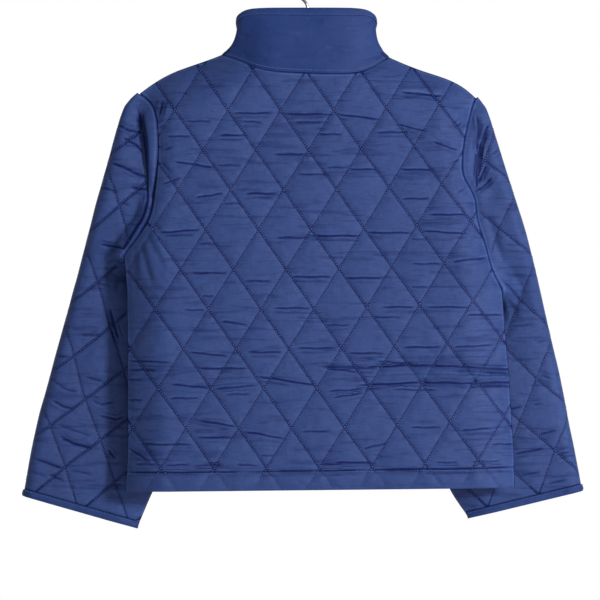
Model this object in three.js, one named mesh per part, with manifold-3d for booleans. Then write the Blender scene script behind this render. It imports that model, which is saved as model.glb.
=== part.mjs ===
// A child's quilted jacket hanging on a wooden hanger, seen from behind as it hangs.
// Millimetres, +Z up. The origin is the inside top of the hanger's hook. The back of the jacket faces -Y.
// A place on the garment is given by x, to the right seen from behind, and down, below the hook's inside top.

import * as THREE from 'three';
import { mergeVertices } from 'three/addons/utils/BufferGeometryUtils.js';
import Module from 'manifold-3d';

const wasm = await Module();
wasm.setup();

// The cloth: a wall, thicker inside each diamond of the quilting.
const cloth = { wall: 1.6, puff: 2.2, binding: 2.2, seamGap: 0.3, edgeInset: 3, seamFlat: 14 };

// A box round the whole garment, for cutting: its half width, heights and half depth.
const reach = { x: 260, high: 20, low: 600, y: 120 };
const diamond = { width: 52.6, height: 79.2 };

// The body's widths at a few heights. Above the underarms they run on straight to the shoulder tips.
const sides = [
  { down: 129, left: -168, right: 169, half: 19 },
  { down: 230, left: -177, right: 182, half: 20 },
  { down: 292, left: -182.8, right: 190, half: 19 },
  { down: 326, left: -179.5, right: 194.5, half: 18.5 },
  { down: 411, left: -179, right: 201.5, half: 17 },
  { down: 489, left: -179, right: 206.5, half: 18 },
  { down: 530, left: -181, right: 207, half: 18.5 },
];
const shoulders = {
  left: { neckX: -84.5, neckDown: 91, tipX: -168, tipDown: 129.4 },
  right: { neckX: 81.7, neckDown: 93.7, tipX: 169, tipDown: 133.5 },
};
const edgeRound = 40;
const hem = { left: 526, right: 523 };

// Armhole seams, from the shoulder tip to the underarm.
const armholes = {
  left: [
    { x: -168, down: 129.4 }, { x: -158.4, down: 136.4 }, { x: -151.4, down: 147.4 },
    { x: -148.4, down: 168 }, { x: -148.4, down: 198 }, { x: -152.1, down: 234 },
    { x: -156.1, down: 253 }, { x: -164.7, down: 268 }, { x: -174.1, down: 281 },
    { x: -182.8, down: 292 },
  ],
  right: [
    { x: 169, down: 133.5 }, { x: 163.8, down: 147 }, { x: 157.8, down: 171 }, { x: 154.4, down: 196 },
    { x: 155.5, down: 211.5 }, { x: 161.5, down: 223.5 }, { x: 167.5, down: 237 }, { x: 169.8, down: 256.5 },
    { x: 176.5, down: 277.5 }, { x: 184, down: 304.5 }, { x: 194.5, down: 325.5 },
  ],
};

// Each sleeve lies along its own slanting axis. The outer edge is a fold, the inner edge a seam.
const sleeves = {
  left: {
    out: -1,
    centre: { x: -217, down: 435 },
    tilt: 15.9,
    end: 107.7,
    backFold: {
      deep: 4.5,
      wide: 10,
      line: [{ x: -168, down: 158 }, { x: -158, down: 228 }, { x: -170, down: 256 }],
    },
    outer: [
      { x: -168, down: 129.4 }, { x: -177, down: 138 }, { x: -184, down: 151 }, { x: -197, down: 196 },
      { x: -222, down: 286 }, { x: -255, down: 406 }, { x: -271, down: 466 }, { x: -283, down: 528.6 },
    ],
    inner: [
      { x: -183.3, down: 292.2 }, { x: -184.6, down: 301 }, { x: -180, down: 311 }, { x: -159, down: 325 },
      { x: -136, down: 350 }, { x: -124, down: 388 }, { x: -123, down: 442 }, { x: -136, down: 490 },
      { x: -154.7, down: 527.7 }, { x: -168.7, down: 560.2 },
    ],
  },
  right: {
    out: 1,
    centre: { x: 213.6, down: 340.6 },
    tilt: 13.6,
    end: 192,
    backFold: {
      deep: 2.5,
      wide: 9,
      line: [{ x: 179, down: 162 }, { x: 169, down: 205 }, { x: 184, down: 230 }],
    },
    outer: [
      { x: 169, down: 133.5 }, { x: 174, down: 140 }, { x: 180, down: 151 }, { x: 194, down: 196 },
      { x: 222, down: 286 }, { x: 251, down: 406 }, { x: 263, down: 466 }, { x: 274.4, down: 523 },
    ],
    inner: [
      { x: 195.8, down: 326.4 }, { x: 199.5, down: 336 }, { x: 196, down: 348 }, { x: 174, down: 364 },
      { x: 153, down: 390 }, { x: 141, down: 424 }, { x: 137, down: 462 }, { x: 138.5, down: 500 },
      { x: 143, down: 525 }, { x: 161.3, down: 553 },
    ],
  },
};
const sleeveForm = {
  radius: 9.5, tipRadius: 2, tipLength: 60, seamRound: 30, blend: 22, fromSeam: 0.2, cuffBinding: 7.5,
  forward: 35, forwardFrom: -62, forwardOver: 90, lineSteps: 40,
};
// How far the sleeves' cloth and the boxes that cut it run past them.
const sleeveReach = {
  across: [-130, 230], bindingAcross: [-110, 190], bindingSteps: 40, outer: 90, top: -340, tipRise: 4,
  past: 10, low: 400, back: -60, front: 90, open: 5, cuffPast: 3,
};

// The neck seam on the back, and the standing collar.
const neckBack = [
  { x: -84.5, down: 91 }, { x: -66, down: 97.8 }, { x: -51, down: 103.9 }, { x: -35, down: 107.3 },
  { x: -10, down: 109 }, { x: 23, down: 110 }, { x: 48, down: 109.5 }, { x: 65.4, down: 103.9 },
  { x: 81.7, down: 93.7 },
];
const neckFront = { drop: 144, power: 2.2 };
const collar = {
  baseHalf: 83.1, baseCentre: -1.4, topHalf: 66, topCentre: 0.6, topDepth: 17, topBack: 44.5, topFront: 98,
  topFall: 2.2, squareness: 0.62, flare: 0.8, bandEnd: 0.12, bandGap: 0.016, rows: [0.55, 0.8, 0.93, 1.08],
  columns: 30, zipEnd: 0.01, over: 14, halfWide: 130, deep: 60, overlap: 0.01,
};

// The zip on the front, closed, with its slider at the top.
const zip = {
  half: 3.1, chain: 2.2, tapeWidth: 13, tape: 0.9, tapeGap: 0.2, frontEdge: 3.5, top: 101, bottom: 521,
  steps: 20,
};
const slider = {
  width: 8, length: 13, thick: 3.4, down: 116, cornerTall: 2, cornerWide: 1.5, taper: 1.2,
  loopOuter: 3.2, loopInner: 1.7, loopWidth: 2, loopSunk: 0.5, loopSteps: 8,
};
const pull = {
  width: 6.5, length: 27, thick: 1.2, window: 3.4, windowLength: 5.2, bar: 1.2, topInset: 1, shoulder: 6,
  lowInset: 0.6, lowCorner: 2,
};

// The hanger, a bar under the shoulders, and its hook, a bent wire.
const hanger = {
  halfTall: 8, halfDeep: 4.6, tipIn: 20, below: 6.3, centreDown: 82, tipScale: 0.5, taper: 50, neckIn: 34,
  armSteps: 6, steps: 26, sides: 12,
};
const hook = {
  wireRadius: 1.5, loopRadius: 18, loopFrom: -140, loopTo: 110, loopSteps: 14, leanX: -2, leanDown: 37.5,
  straightX: 1, straightDown: 46, lowDown: 60, steps: 40, sides: 8,
};

const clamp = (value, low, high) => Math.min(Math.max(value, low), high);
const mix = (a, b, t) => a + (b - a) * t;
const ease = (t) => {
  const c = clamp(t, 0, 1);
  return c * c * (3 - 2 * c);
};
// Falls past 0 outside an edge, so that the surface goes on smoothly there.
const round = (t) => Math.sin((Math.PI / 2) * clamp(t, -0.8, 1));

// Reads one column of a table at a value of its key column, straight between the rows.
function lookUp(rows, key, column, at) {
  const last = rows.length - 1;
  if (at <= rows[0][key]) return rows[0][column];
  if (at >= rows[last][key]) return rows[last][column];
  const next = rows.findIndex((row) => row[key] > at);
  const low = rows[next - 1];
  const high = rows[next];
  return mix(low[column], high[column], (at - low[key]) / (high[key] - low[key]));
}

// A smooth line through a table of places, as many points as asked.
function smoothLine(rows, count) {
  const curve = new THREE.SplineCurve(rows.map((row) => new THREE.Vector2(row.x, row.down)));
  return curve.getPoints(count).map((point) => ({ x: point.x, down: point.y }));
}

// The point of a line that is nearest to a place, and how far it is.
function nearest(line, x, down) {
  let best = { distance: Infinity };
  for (let i = 0; i + 1 < line.length; i++) {
    const a = line[i];
    const b = line[i + 1];
    const lengthSquared = (b.x - a.x) ** 2 + (b.down - a.down) ** 2;
    const t = clamp(((x - a.x) * (b.x - a.x) + (down - a.down) * (b.down - a.down)) / lengthSquared, 0, 1);
    const point = { x: mix(a.x, b.x, t), down: mix(a.down, b.down, t) };
    const distance = Math.hypot(x - point.x, down - point.down);
    if (distance < best.distance) best = { ...point, distance };
  }
  return best;
}

// How far a place lies below a shoulder line, square to it.
function belowShoulder(shoulder, x, down) {
  const slope = (shoulder.tipDown - shoulder.neckDown) / (shoulder.tipX - shoulder.neckX);
  const lineDown = shoulder.neckDown + slope * (x - shoulder.neckX);
  return (down - lineDown) / Math.hypot(1, slope);
}

// Half the depth of the hollow inside the body: full in the middle, none at the sides and shoulders.
function bodyHalf(x, down) {
  const half = lookUp(sides, 'down', 'half', down);
  const shares = bodyEdges(x, down).map((edge) => round((edge - cloth.edgeInset) / edgeRound));
  return shares.reduce((depth, share) => depth * share, half);
}

// The distances of a place from the body's sides and shoulders, less than 0 outside them.
function bodyEdges(x, down) {
  return [
    x - lookUp(sides, 'down', 'left', down),
    lookUp(sides, 'down', 'right', down) - x,
    belowShoulder(shoulders.left, x, down),
    belowShoulder(shoulders.right, x, down),
  ];
}

// The distance of a point of the body's cloth from its nearest side, shoulder or armhole.
function fromBodySeam(point) {
  const down = -point.z;
  const armholeDistances = Object.values(armholeLines).map((line) => nearest(line, point.x, down).distance);
  return Math.min(...bodyEdges(point.x, down), ...armholeDistances);
}

// A surface is a function of along (down the cloth) and across that gives the inside of the wall.
// Its outward normal comes from two short steps on it.
const normalStep = 0.5;
function outward(surface, along, across, side) {
  const step = normalStep;
  const alongStep = surface(along + step, across).sub(surface(along - step, across));
  const acrossStep = surface(along, across + step).sub(surface(along, across - step));
  return alongStep.cross(acrossStep).normalize().multiplyScalar(side);
}

// Height of the padding over the wall: none on the stitched lines, full in the middle of a diamond. It is
// the root of two crossed sine waves, which swells out close to the lines.
function padding(along, across) {
  const one = across / diamond.width + along / diamond.height;
  const two = across / diamond.width - along / diamond.height;
  return cloth.puff * Math.abs(Math.sin(Math.PI * one) * Math.sin(Math.PI * two)) ** 0.5;
}

// The whole numbers from one to another, both included.
const countUp = (from, to) => Array.from({ length: to - from + 1 }, (_, i) => from + i);

// Signed volume of a closed mesh, to tell which way its faces point.
function signedVolume(points, faces) {
  return faces.reduce((sum, [a, b, c]) => sum + points[a].dot(points[b].clone().cross(points[c])), 0) / 6;
}

// A solid from points and faces, turned so that its faces point out.
function solidFrom(points, faces) {
  const turned = signedVolume(points, faces) < 0 ? faces.map(([a, b, c]) => [a, c, b]) : faces;
  const vertProperties = new Float32Array(points.flatMap((point) => [point.x, point.y, point.z]));
  const triVerts = new Uint32Array(turned.flat());
  return new wasm.Manifold(new wasm.Mesh({ numProp: 3, vertProperties, triVerts }));
}

// A wall between an inner and an outer grid of points of the same size. The quads are split along the
// stitched lines, which run through every fourth corner of the grid.
function wallSolid(inner, outer, splitOf) {
  const rows = inner.length;
  const columns = inner[0].length;
  const points = [...inner.flat(), ...outer.flat()];
  const innerAt = (i, j) => i * columns + j;
  const outerAt = (i, j) => rows * columns + i * columns + j;
  const faces = [];
  for (let i = 0; i + 1 < rows; i++) {
    for (let j = 0; j + 1 < columns; j++) {
      for (const [at, turned] of [[outerAt, false], [innerAt, true]]) {
        const [a, b, c, d] = [at(i, j), at(i, j + 1), at(i + 1, j + 1), at(i + 1, j)];
        const pair = splitOf(i, j) ? [[a, b, c], [a, c, d]] : [[a, b, d], [b, c, d]];
        faces.push(...pair.map(([p, q, r]) => (turned ? [p, r, q] : [p, q, r])));
      }
    }
  }
  const rim = [
    ...countUp(0, columns - 1).map((j) => [0, j]),
    ...countUp(1, rows - 1).map((i) => [i, columns - 1]),
    ...countUp(0, columns - 2).reverse().map((j) => [rows - 1, j]),
    ...countUp(1, rows - 2).reverse().map((i) => [i, 0]),
  ];
  rim.forEach(([i, j], k) => {
    const [m, n] = rim[(k + 1) % rim.length];
    faces.push([innerAt(i, j), innerAt(m, n), outerAt(m, n)]);
    faces.push([innerAt(i, j), outerAt(m, n), outerAt(i, j)]);
  });
  return solidFrom(points, faces);
}

// Whole numbers of steps that cover a range.
function stepsOver(range, step) {
  return countUp(Math.floor(range[0] / step), Math.ceil(range[1] / step));
}

// Inner and outer points of a quilted cloth on a surface, on a grid of quarter diamonds. The padding
// thins out towards the seams.
function quiltedGrids(surface, side, alongRange, acrossRange, fromSeam) {
  const stepAlong = diamond.height / 4;
  const stepAcross = diamond.width / 4;
  const rowNumbers = stepsOver(alongRange, stepAlong);
  const columnNumbers = stepsOver(acrossRange, stepAcross);
  const inner = [];
  const outer = [];
  for (const i of rowNumbers) {
    const along = i * stepAlong;
    const row = columnNumbers.map((j) => surface(along, j * stepAcross));
    inner.push(row);
    outer.push(row.map((point, n) => {
      const across = columnNumbers[n] * stepAcross;
      const thick = cloth.wall + padding(along, across) * ease(fromSeam(point) / cloth.seamFlat);
      return point.clone().addScaledVector(outward(surface, along, across, side), thick);
    }));
  }
  const splitOf = (i, j) => (rowNumbers[i] - columnNumbers[j]) % 2 === 0;
  return { inner, outer, splitOf };
}

// A solid inside a grid of points that is folded so that its first and last columns lie side by side.
function foldedSolid(grid, splitOf) {
  const rows = grid.length;
  const columns = grid[0].length;
  const at = (i, j) => i * columns + (j % columns);
  const faces = [];
  for (let i = 0; i + 1 < rows; i++) {
    for (let j = 0; j < columns; j++) {
      const [a, b, c, d] = [at(i, j), at(i, j + 1), at(i + 1, j + 1), at(i + 1, j)];
      faces.push(...(splitOf(i, j) ? [[a, b, c], [a, c, d]] : [[a, b, d], [b, c, d]]));
    }
  }
  for (const i of [0, rows - 1]) {
    for (let j = 0; j < columns - 2 - j; j++) {
      const [a, b, c, d] = [at(i, j), at(i, j + 1), at(i, columns - 2 - j), at(i, columns - 1 - j)];
      const cap = b === c ? [[a, b, d]] : [[a, b, c], [a, c, d]];
      faces.push(...cap.map(([p, q, r]) => (i === 0 ? [p, r, q] : [p, q, r])));
    }
  }
  return solidFrom(grid.flat(), faces);
}

// A prism along Y with an outline given by places on the garment.
function prism(outline, fromY, toY) {
  const shape = new THREE.Shape(outline.map((place) => new THREE.Vector2(place.x, -place.down)));
  const geometry = new THREE.ExtrudeGeometry(shape, { depth: toY - fromY, bevelEnabled: false });
  geometry.rotateX(Math.PI / 2);
  geometry.translate(0, toY, 0);
  return solidOf(geometry);
}

// A solid from a three.js geometry.
function solidOf(geometry) {
  geometry.deleteAttribute('normal');
  geometry.deleteAttribute('uv');
  const merged = mergeVertices(geometry, 1e-4);
  const position = merged.getAttribute('position');
  const points = [];
  for (let i = 0; i < position.count; i++) points.push(new THREE.Vector3().fromBufferAttribute(position, i));
  const faces = [];
  for (let i = 0; i < merged.index.count; i += 3) {
    faces.push([merged.index.getX(i), merged.index.getX(i + 1), merged.index.getX(i + 2)]);
  }
  return solidFrom(points, faces.filter(([a, b, c]) => a !== b && b !== c && a !== c));
}

// Moves a line sideways by a distance, to its left as it runs.
function movedLine(line, distance) {
  return line.map((place, i) => {
    const before = line[Math.max(i - 1, 0)];
    const after = line[Math.min(i + 1, line.length - 1)];
    const length = Math.hypot(after.x - before.x, after.down - before.down);
    const normal = { x: (after.down - before.down) / length, down: -(after.x - before.x) / length };
    return { x: place.x + normal.x * distance, down: place.down + normal.down * distance };
  });
}

const bodySteps = { armhole: 30, neck: 24 };
const armholeLines = {
  left: smoothLine(armholes.left, bodySteps.armhole),
  right: smoothLine(armholes.right, bodySteps.armhole),
};
const neckBackLine = smoothLine(neckBack, bodySteps.neck);

// The front neck line, from the left neck point to the right one.
function neckFrontDown(x) {
  const { left, right } = shoulders;
  const end = x < 0 ? left : right;
  const ratio = clamp(Math.abs(x / end.neckX), 0, 1);
  return mix(neckFront.drop, end.neckDown, ratio ** neckFront.power);
}
const neckFrontLine = neckBackLine.map((place) => ({ x: place.x, down: neckFrontDown(place.x) }));

// The place above a shoulder's end, square to the shoulder, outside all cloth.
function aboveShoulder(shoulder, end, rise) {
  const run = shoulder.tipX - shoulder.neckX;
  const fall = shoulder.tipDown - shoulder.neckDown;
  const length = Math.hypot(run, fall);
  const sign = Math.sign(run);
  return {
    x: shoulder[`${end}X`] + (sign * fall * rise) / length,
    down: shoulder[`${end}Down`] - (sign * run * rise) / length,
  };
}

// The outline of the whole body seen from behind: neck line, shoulders, armholes, sides and hem. The
// shoulders and sides are left wide, because the back and fronts are parted there by the plane y = 0.
const bodyReach = { wide: 14, nearTip: 2.5 };
function bodyOutline(neckLine) {
  const { wide, nearTip } = bodyReach;
  return [
    ...movedLine(neckLine, -cloth.seamGap / 2),
    aboveShoulder(shoulders.right, 'neck', wide),
    aboveShoulder(shoulders.right, 'tip', nearTip),
    ...movedLine(armholeLines.right, -cloth.seamGap / 2),
    { x: sides[3].right + wide, down: armholes.right.at(-1).down },
    { x: sides.at(-1).right + wide, down: hem.right },
    { x: sides.at(-1).left - wide, down: hem.left },
    { x: sides[2].left - wide, down: armholes.left.at(-1).down },
    ...movedLine(armholeLines.left, cloth.seamGap / 2).reverse(),
    aboveShoulder(shoulders.left, 'tip', nearTip),
    aboveShoulder(shoulders.left, 'neck', wide),
  ];
}

// How far the quilting of the body's cloth runs before it is cut to its outline.
const quilted = { along: [-70, 400], backAcross: [-175, 250], frontAcross: [-200, 225] };

// Where the quilting of the back runs: it drifts to the right going down, and its right end rises.
const backQuilt = { x: -25.7, down: 147, drift: 0.034, riseFrom: -22, rise: 0.00024 };
function backPlace(along, across) {
  const x = backQuilt.x + across + backQuilt.drift * along;
  const rise = backQuilt.rise * Math.max(0, x - backQuilt.riseFrom) ** 2;
  return { x, down: backQuilt.down + along - rise };
}
function backSurface(along, across) {
  const { x, down } = backPlace(along, across);
  return new THREE.Vector3(x, -bodyHalf(x, down), -down);
}

// The fronts' quilting is even and mirrored about the zip.
const frontQuilt = { down: 147 };
function frontSurface(along, across) {
  const down = frontQuilt.down + along;
  return new THREE.Vector3(across, bodyHalf(across, down), -down);
}

// The back and the fronts keep this far from the plane between them.
const parting = cloth.seamGap / 2;

function makeBack() {
  const grids = quiltedGrids(backSurface, 1, quilted.along, quilted.backAcross, fromBodySeam);
  const wall = wallSolid(grids.inner, grids.outer, grids.splitOf);
  return wall.intersect(prism(bodyOutline(neckBackLine), -reach.y, -parting));
}

// A prism between two values of x over the whole height of the jacket.
function slice(from, to) {
  const { high, low } = reach;
  const outline = [
    { x: from, down: high }, { x: to, down: high }, { x: to, down: low }, { x: from, down: low },
  ];
  return prism(outline, 0, reach.y);
}

function makeFronts() {
  const grids = quiltedGrids(frontSurface, -1, quilted.along, quilted.frontAcross, fromBodySeam);
  const wall = wallSolid(grids.inner, grids.outer, grids.splitOf);
  const whole = wall.intersect(prism(bodyOutline(neckFrontLine), parting, reach.y));
  return {
    left: whole.intersect(slice(-reach.x, -zip.frontEdge)),
    right: whole.intersect(slice(zip.frontEdge, reach.x)),
  };
}

// A sleeve's own frame: along runs down its axis, across runs outwards.
function sleevePlace(sleeve, along, across) {
  const tilt = THREE.MathUtils.degToRad(sleeve.tilt);
  return {
    x: sleeve.centre.x + sleeve.out * (along * Math.sin(tilt) + across * Math.cos(tilt)),
    down: sleeve.centre.down + along * Math.cos(tilt) - across * Math.sin(tilt),
  };
}
function inSleeve(sleeve, place) {
  const tilt = THREE.MathUtils.degToRad(sleeve.tilt);
  const x = (place.x - sleeve.centre.x) * sleeve.out;
  const down = place.down - sleeve.centre.down;
  return {
    along: x * Math.sin(tilt) + down * Math.cos(tilt),
    across: x * Math.cos(tilt) - down * Math.sin(tilt),
  };
}

// A sleeve is one sheet folded round its outer edge, with a deep fold down its back beside the armhole.
// Across runs over the back of the sleeve up to the outer edge and on over its front. Beside the armhole
// the sheet takes the body's depth.
function sleeveSurface(side) {
  const sleeve = sleeves[side];
  const edge = smoothLine(sleeve.outer, sleeveForm.lineSteps).map((place) => inSleeve(sleeve, place));
  const seam = smoothLine(sleeve.inner, sleeveForm.lineSteps);
  const armhole = armholeLines[side];
  const tipAlong = edge[0].along;
  return (along, across) => {
    const fold = lookUp(edge, 'along', 'across', along);
    const fromFold = across - fold;
    const fromTip = ease((along - tipAlong) / sleeveForm.tipLength);
    const radius = mix(sleeveForm.tipRadius, sleeveForm.radius, fromTip);
    const angle = Math.min(Math.abs(fromFold) / radius, Math.PI / 2);
    const inFrom = radius * (1 - Math.cos(angle)) + Math.max(0, Math.abs(fromFold) - (radius * Math.PI) / 2);
    const { x, down } = sleevePlace(sleeve, along, fold - inFrom);
    const nearSeam = nearest(seam, x, down).distance;
    const outside = inSleeve(sleeve, { x, down }).across < innerAcross(sleeve, seam, along);
    const closing = outside ? 0 : round(nearSeam / sleeveForm.seamRound);
    const nearArmhole = nearest(armhole, x, down);
    const away = ease(nearArmhole.distance / sleeveForm.blend);
    const bodySide = Math.max(bodyHalf(nearArmhole.x, nearArmhole.down), sleeveForm.fromSeam);
    const half = Math.max(radius * closing, sleeveForm.fromSeam) * Math.sin(angle);
    const fromUnderarm = down - sleeve.inner[0].down - sleeveForm.forwardFrom;
    const forward = sleeveForm.forward * ease(fromUnderarm / sleeveForm.forwardOver);
    const sign = fromFold < 0 ? -1 : 1;
    const toFold = nearest(sleeve.backFold.line, x, down).distance / sleeve.backFold.wide;
    const pressed = fromFold < 0 ? sleeve.backFold.deep * Math.exp(-(toFold ** 2)) * Math.sin(angle) : 0;
    const y = mix(sign * bodySide * Math.sin(angle), forward + sign * half, away) + pressed;
    return new THREE.Vector3(x, y, -down);
  };
}

// The across of the underarm seam at an along, and far inside above it.
function innerAcross(sleeve, seam, along) {
  const rows = seam.map((place) => inSleeve(sleeve, place));
  if (along < rows[0].along) return -Infinity;
  return lookUp(rows, 'along', 'across', along);
}

// The outline of a sleeve seen from behind, wide past its fold, from its armhole to an along. Its seam
// edge can be moved in, to keep cloth round the hollow, and its armhole edge out into the body, where it
// then ends a little above the underarm.
function sleeveOutline(side, endAlong, seamIn, armholeGap) {
  const sleeve = sleeves[side];
  const wholeSeam = smoothLine(sleeve.inner, sleeveForm.lineSteps);
  const seam = wholeSeam.filter((place) => inSleeve(sleeve, place).along < endAlong - 1);
  const movedSeam = movedLine(seam, sleeve.out * seamIn);
  const wholeArmhole = movedLine(armholeLines[side], sleeve.out * armholeGap);
  const armhole = seamIn > 0 ? wholeArmhole.slice(0, -1) : wholeArmhole;
  const across = inSleeve(sleeve, movedSeam.at(-1)).across;
  return [
    ...armhole,
    ...movedSeam.slice(1),
    sleevePlace(sleeve, endAlong, across),
    sleevePlace(sleeve, endAlong, sleeveReach.outer),
    sleevePlace(sleeve, sleeveReach.top, sleeveReach.outer),
    aboveShoulder(shoulders[side], 'tip', sleeveReach.tipRise),
  ];
}

// What cuts a sleeve's cloth to its outline down to an along, and what cuts its hollow. The hollow stops
// short of the seam by more than the cloth's thickness and runs a little into the body.
const hollowEdge = { seamIn: 1.5 * cloth.wall, intoBody: -2 };
function sleeveCut(side, toAlong) {
  const outline = sleeveOutline(side, toAlong, 0, cloth.seamGap / 2);
  return prism(outline, sleeveReach.back, sleeveReach.front);
}
function hollowCut(side) {
  const outline = sleeveOutline(side, sleeveReach.low, hollowEdge.seamIn, hollowEdge.intoBody);
  return prism(outline, sleeveReach.back, sleeveReach.front);
}

// A sleeve down to an along: what is inside the outer points, less the hollow inside the inner ones.
function sleeveTube(side, grids, toAlong) {
  const outerForm = foldedSolid(grids.outer, grids.splitOf);
  const hollow = foldedSolid(grids.inner, grids.splitOf);
  return outerForm.intersect(sleeveCut(side, toAlong)).subtract(hollow.intersect(hollowCut(side)));
}

function makeSleeve(side) {
  const sleeve = sleeves[side];
  const range = [inSleeve(sleeve, sleeve.outer[0]).along - sleeveReach.past, sleeve.end + sleeveReach.past];
  const seams = [armholeLines[side], smoothLine(sleeve.inner, sleeveForm.lineSteps)];
  const fromSleeveSeam = (point) => (
    Math.min(...seams.map((line) => nearest(line, point.x, -point.z).distance))
  );
  const surface = sleeveSurface(side);
  const grids = quiltedGrids(surface, sleeve.out, range, sleeveReach.across, fromSleeveSeam);
  return sleeveTube(side, grids, sleeve.end - sleeveForm.cuffBinding - cloth.seamGap);
}

// Inner and outer points of a plain cloth on a surface, at the given places.
function plainGrids(surface, side, alongs, acrosses, thick) {
  const inner = alongs.map((along) => acrosses.map((across) => surface(along, across)));
  const outer = alongs.map((along, i) => acrosses.map((across, j) => (
    inner[i][j].clone().addScaledVector(outward(surface, along, across, side), thick)
  )));
  return { inner, outer, splitOf: () => true };
}

// Evenly spaced numbers from one value to another, both included.
const spread = (from, to, count) => Array.from({ length: count + 1 }, (_, i) => mix(from, to, i / count));

function makeCuffBinding(side) {
  const sleeve = sleeves[side];
  const start = sleeve.end - sleeveForm.cuffBinding;
  const surface = sleeveSurface(side);
  const acrosses = spread(...sleeveReach.bindingAcross, sleeveReach.bindingSteps);
  const open = [start - sleeveReach.open, sleeve.end + sleeveReach.open];
  const band = plainGrids(surface, sleeve.out, [start, sleeve.end], acrosses, cloth.binding);
  const hollow = plainGrids(surface, sleeve.out, open, acrosses, 0);
  const cut = sleeveCut(side, sleeve.end + sleeveReach.cuffPast);
  const form = foldedSolid(band.outer, band.splitOf).intersect(cut);
  return form.subtract(foldedSolid(hollow.inner, hollow.splitOf).intersect(hollowCut(side)));
}

// The collar is a ring. Along is 0 at its top and 1 at the neck seam. Across is an angle, 0 at the middle
// of the back and a half turn at the zip.
const softPower = (value, power) => Math.sign(value) * Math.abs(value) ** power;
function collarSurface(along, across) {
  const [sine, cosine] = [Math.sin(across), Math.cos(across)];
  const turned = (1 - cosine) / 2;
  const topX = collar.topCentre + collar.topHalf * softPower(sine, collar.squareness);
  const topY = -collar.topDepth * softPower(cosine, collar.squareness);
  const topDown = mix(collar.topBack, collar.topFront, turned ** collar.topFall);
  const baseX = collar.baseCentre + collar.baseHalf * softPower(sine, collar.squareness);
  const onBack = cosine > 0;
  const baseDown = onBack ? lookUp(neckBackLine, 'x', 'down', baseX) : neckFrontDown(baseX);
  const baseY = bodyHalf(baseX, baseDown) * (onBack ? -1 : 1);
  const flare = mix(along, Math.max(along, 0) ** 4, collar.flare);
  return new THREE.Vector3(mix(topX, baseX, flare), mix(topY, baseY, along), -mix(topDown, baseDown, along));
}

// The part of a solid above the neck seam, back and front.
function aboveNeck(solid) {
  const left = aboveShoulder(shoulders.left, 'neck', collar.over);
  const right = aboveShoulder(shoulders.right, 'neck', collar.over);
  const high = reach.high;
  const over = [right, { x: collar.halfWide, down: high }, { x: -collar.halfWide, down: high }, left];
  const keptBack = prism([...movedLine(neckBackLine, cloth.seamGap / 2), ...over], -collar.deep, 0);
  const frontLine = movedLine(neckFrontLine, cloth.seamGap / 2);
  const keptFront = prism([...frontLine, ...over], -collar.overlap, collar.deep);
  return solid.intersect(keptBack.add(keptFront));
}

function makeCollar() {
  const angles = spread(-Math.PI + collar.zipEnd, Math.PI - collar.zipEnd, collar.columns);
  const standRows = [collar.bandEnd + collar.bandGap, ...collar.rows];
  const stand = plainGrids(collarSurface, 1, standRows, angles, cloth.wall);
  const band = plainGrids(collarSurface, 1, [0, collar.bandEnd], angles, cloth.binding);
  const zipGap = slice(-zip.frontEdge, zip.frontEdge);
  return {
    stand: aboveNeck(wallSolid(stand.inner, stand.outer, stand.splitOf)).subtract(zipGap),
    band: wallSolid(band.inner, band.outer, band.splitOf).subtract(zipGap),
  };
}

// The inside of the cloth along the middle of the front.
function middleFront(down) {
  const seam = bodyHalf(0, neckFront.drop);
  if (down >= neckFront.drop) return bodyHalf(0, down);
  return mix(collar.topDepth, seam, (down - collar.topFront) / (neckFront.drop - collar.topFront));
}

// A strip down the middle of the front, between two values of x and two heights over the cloth's inside.
function frontStrip(fromX, toX, low, high) {
  const downs = spread(zip.top, zip.bottom, zip.steps);
  const layer = (height) => downs.map((down) => (
    [fromX, toX].map((x) => new THREE.Vector3(x, middleFront(down) + height, -down))
  ));
  return wallSolid(layer(low), layer(high), () => true);
}

// The slider's inner face, just over the chain where the chain stands out the most.
const sliderFace = () => middleFront(slider.down + slider.length) + zip.chain + cloth.seamGap;

// The slider is a shield-shaped plate with a loop on it that holds the pull tab.
function makeSlider() {
  const face = sliderFace();
  const half = slider.width / 2;
  const low = slider.down + slider.length;
  const top = slider.down;
  const corner = { x: half - slider.cornerWide, down: top + slider.cornerTall };
  const plate = prism([
    { x: -half, down: corner.down }, { x: -corner.x, down: top }, { x: corner.x, down: top },
    { x: half, down: corner.down }, { x: half - slider.taper, down: low },
    { x: slider.taper - half, down: low },
  ], face, face + slider.thick);
  const centre = pullAxis();
  const loopShape = new THREE.Shape();
  loopShape.moveTo(-slider.loopOuter, -slider.loopOuter);
  loopShape.lineTo(-slider.loopOuter, 0);
  loopShape.absarc(0, 0, slider.loopOuter, Math.PI, 0, true);
  loopShape.lineTo(slider.loopOuter, -slider.loopOuter);
  loopShape.lineTo(slider.loopInner, -slider.loopOuter);
  loopShape.lineTo(slider.loopInner, 0);
  loopShape.absarc(0, 0, slider.loopInner, 0, Math.PI, false);
  loopShape.lineTo(-slider.loopInner, -slider.loopOuter);
  const options = { depth: slider.loopWidth, bevelEnabled: false, curveSegments: slider.loopSteps };
  const loop = new THREE.ExtrudeGeometry(loopShape, options);
  loop.translate(0, 0, -slider.loopWidth / 2);
  loop.applyMatrix4(new THREE.Matrix4().makeBasis(
    new THREE.Vector3(0, 0, 1), new THREE.Vector3(0, 1, 0), new THREE.Vector3(-1, 0, 0),
  ));
  loop.translate(0, centre.y, centre.z);
  return plate.add(solidOf(loop));
}

// The axis that the pull tab turns on, inside the slider's loop.
function pullAxis() {
  const face = sliderFace() + slider.thick;
  const y = face + slider.loopOuter - slider.loopSunk;
  return new THREE.Vector3(0, y, -(slider.down + slider.length / 2));
}

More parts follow.
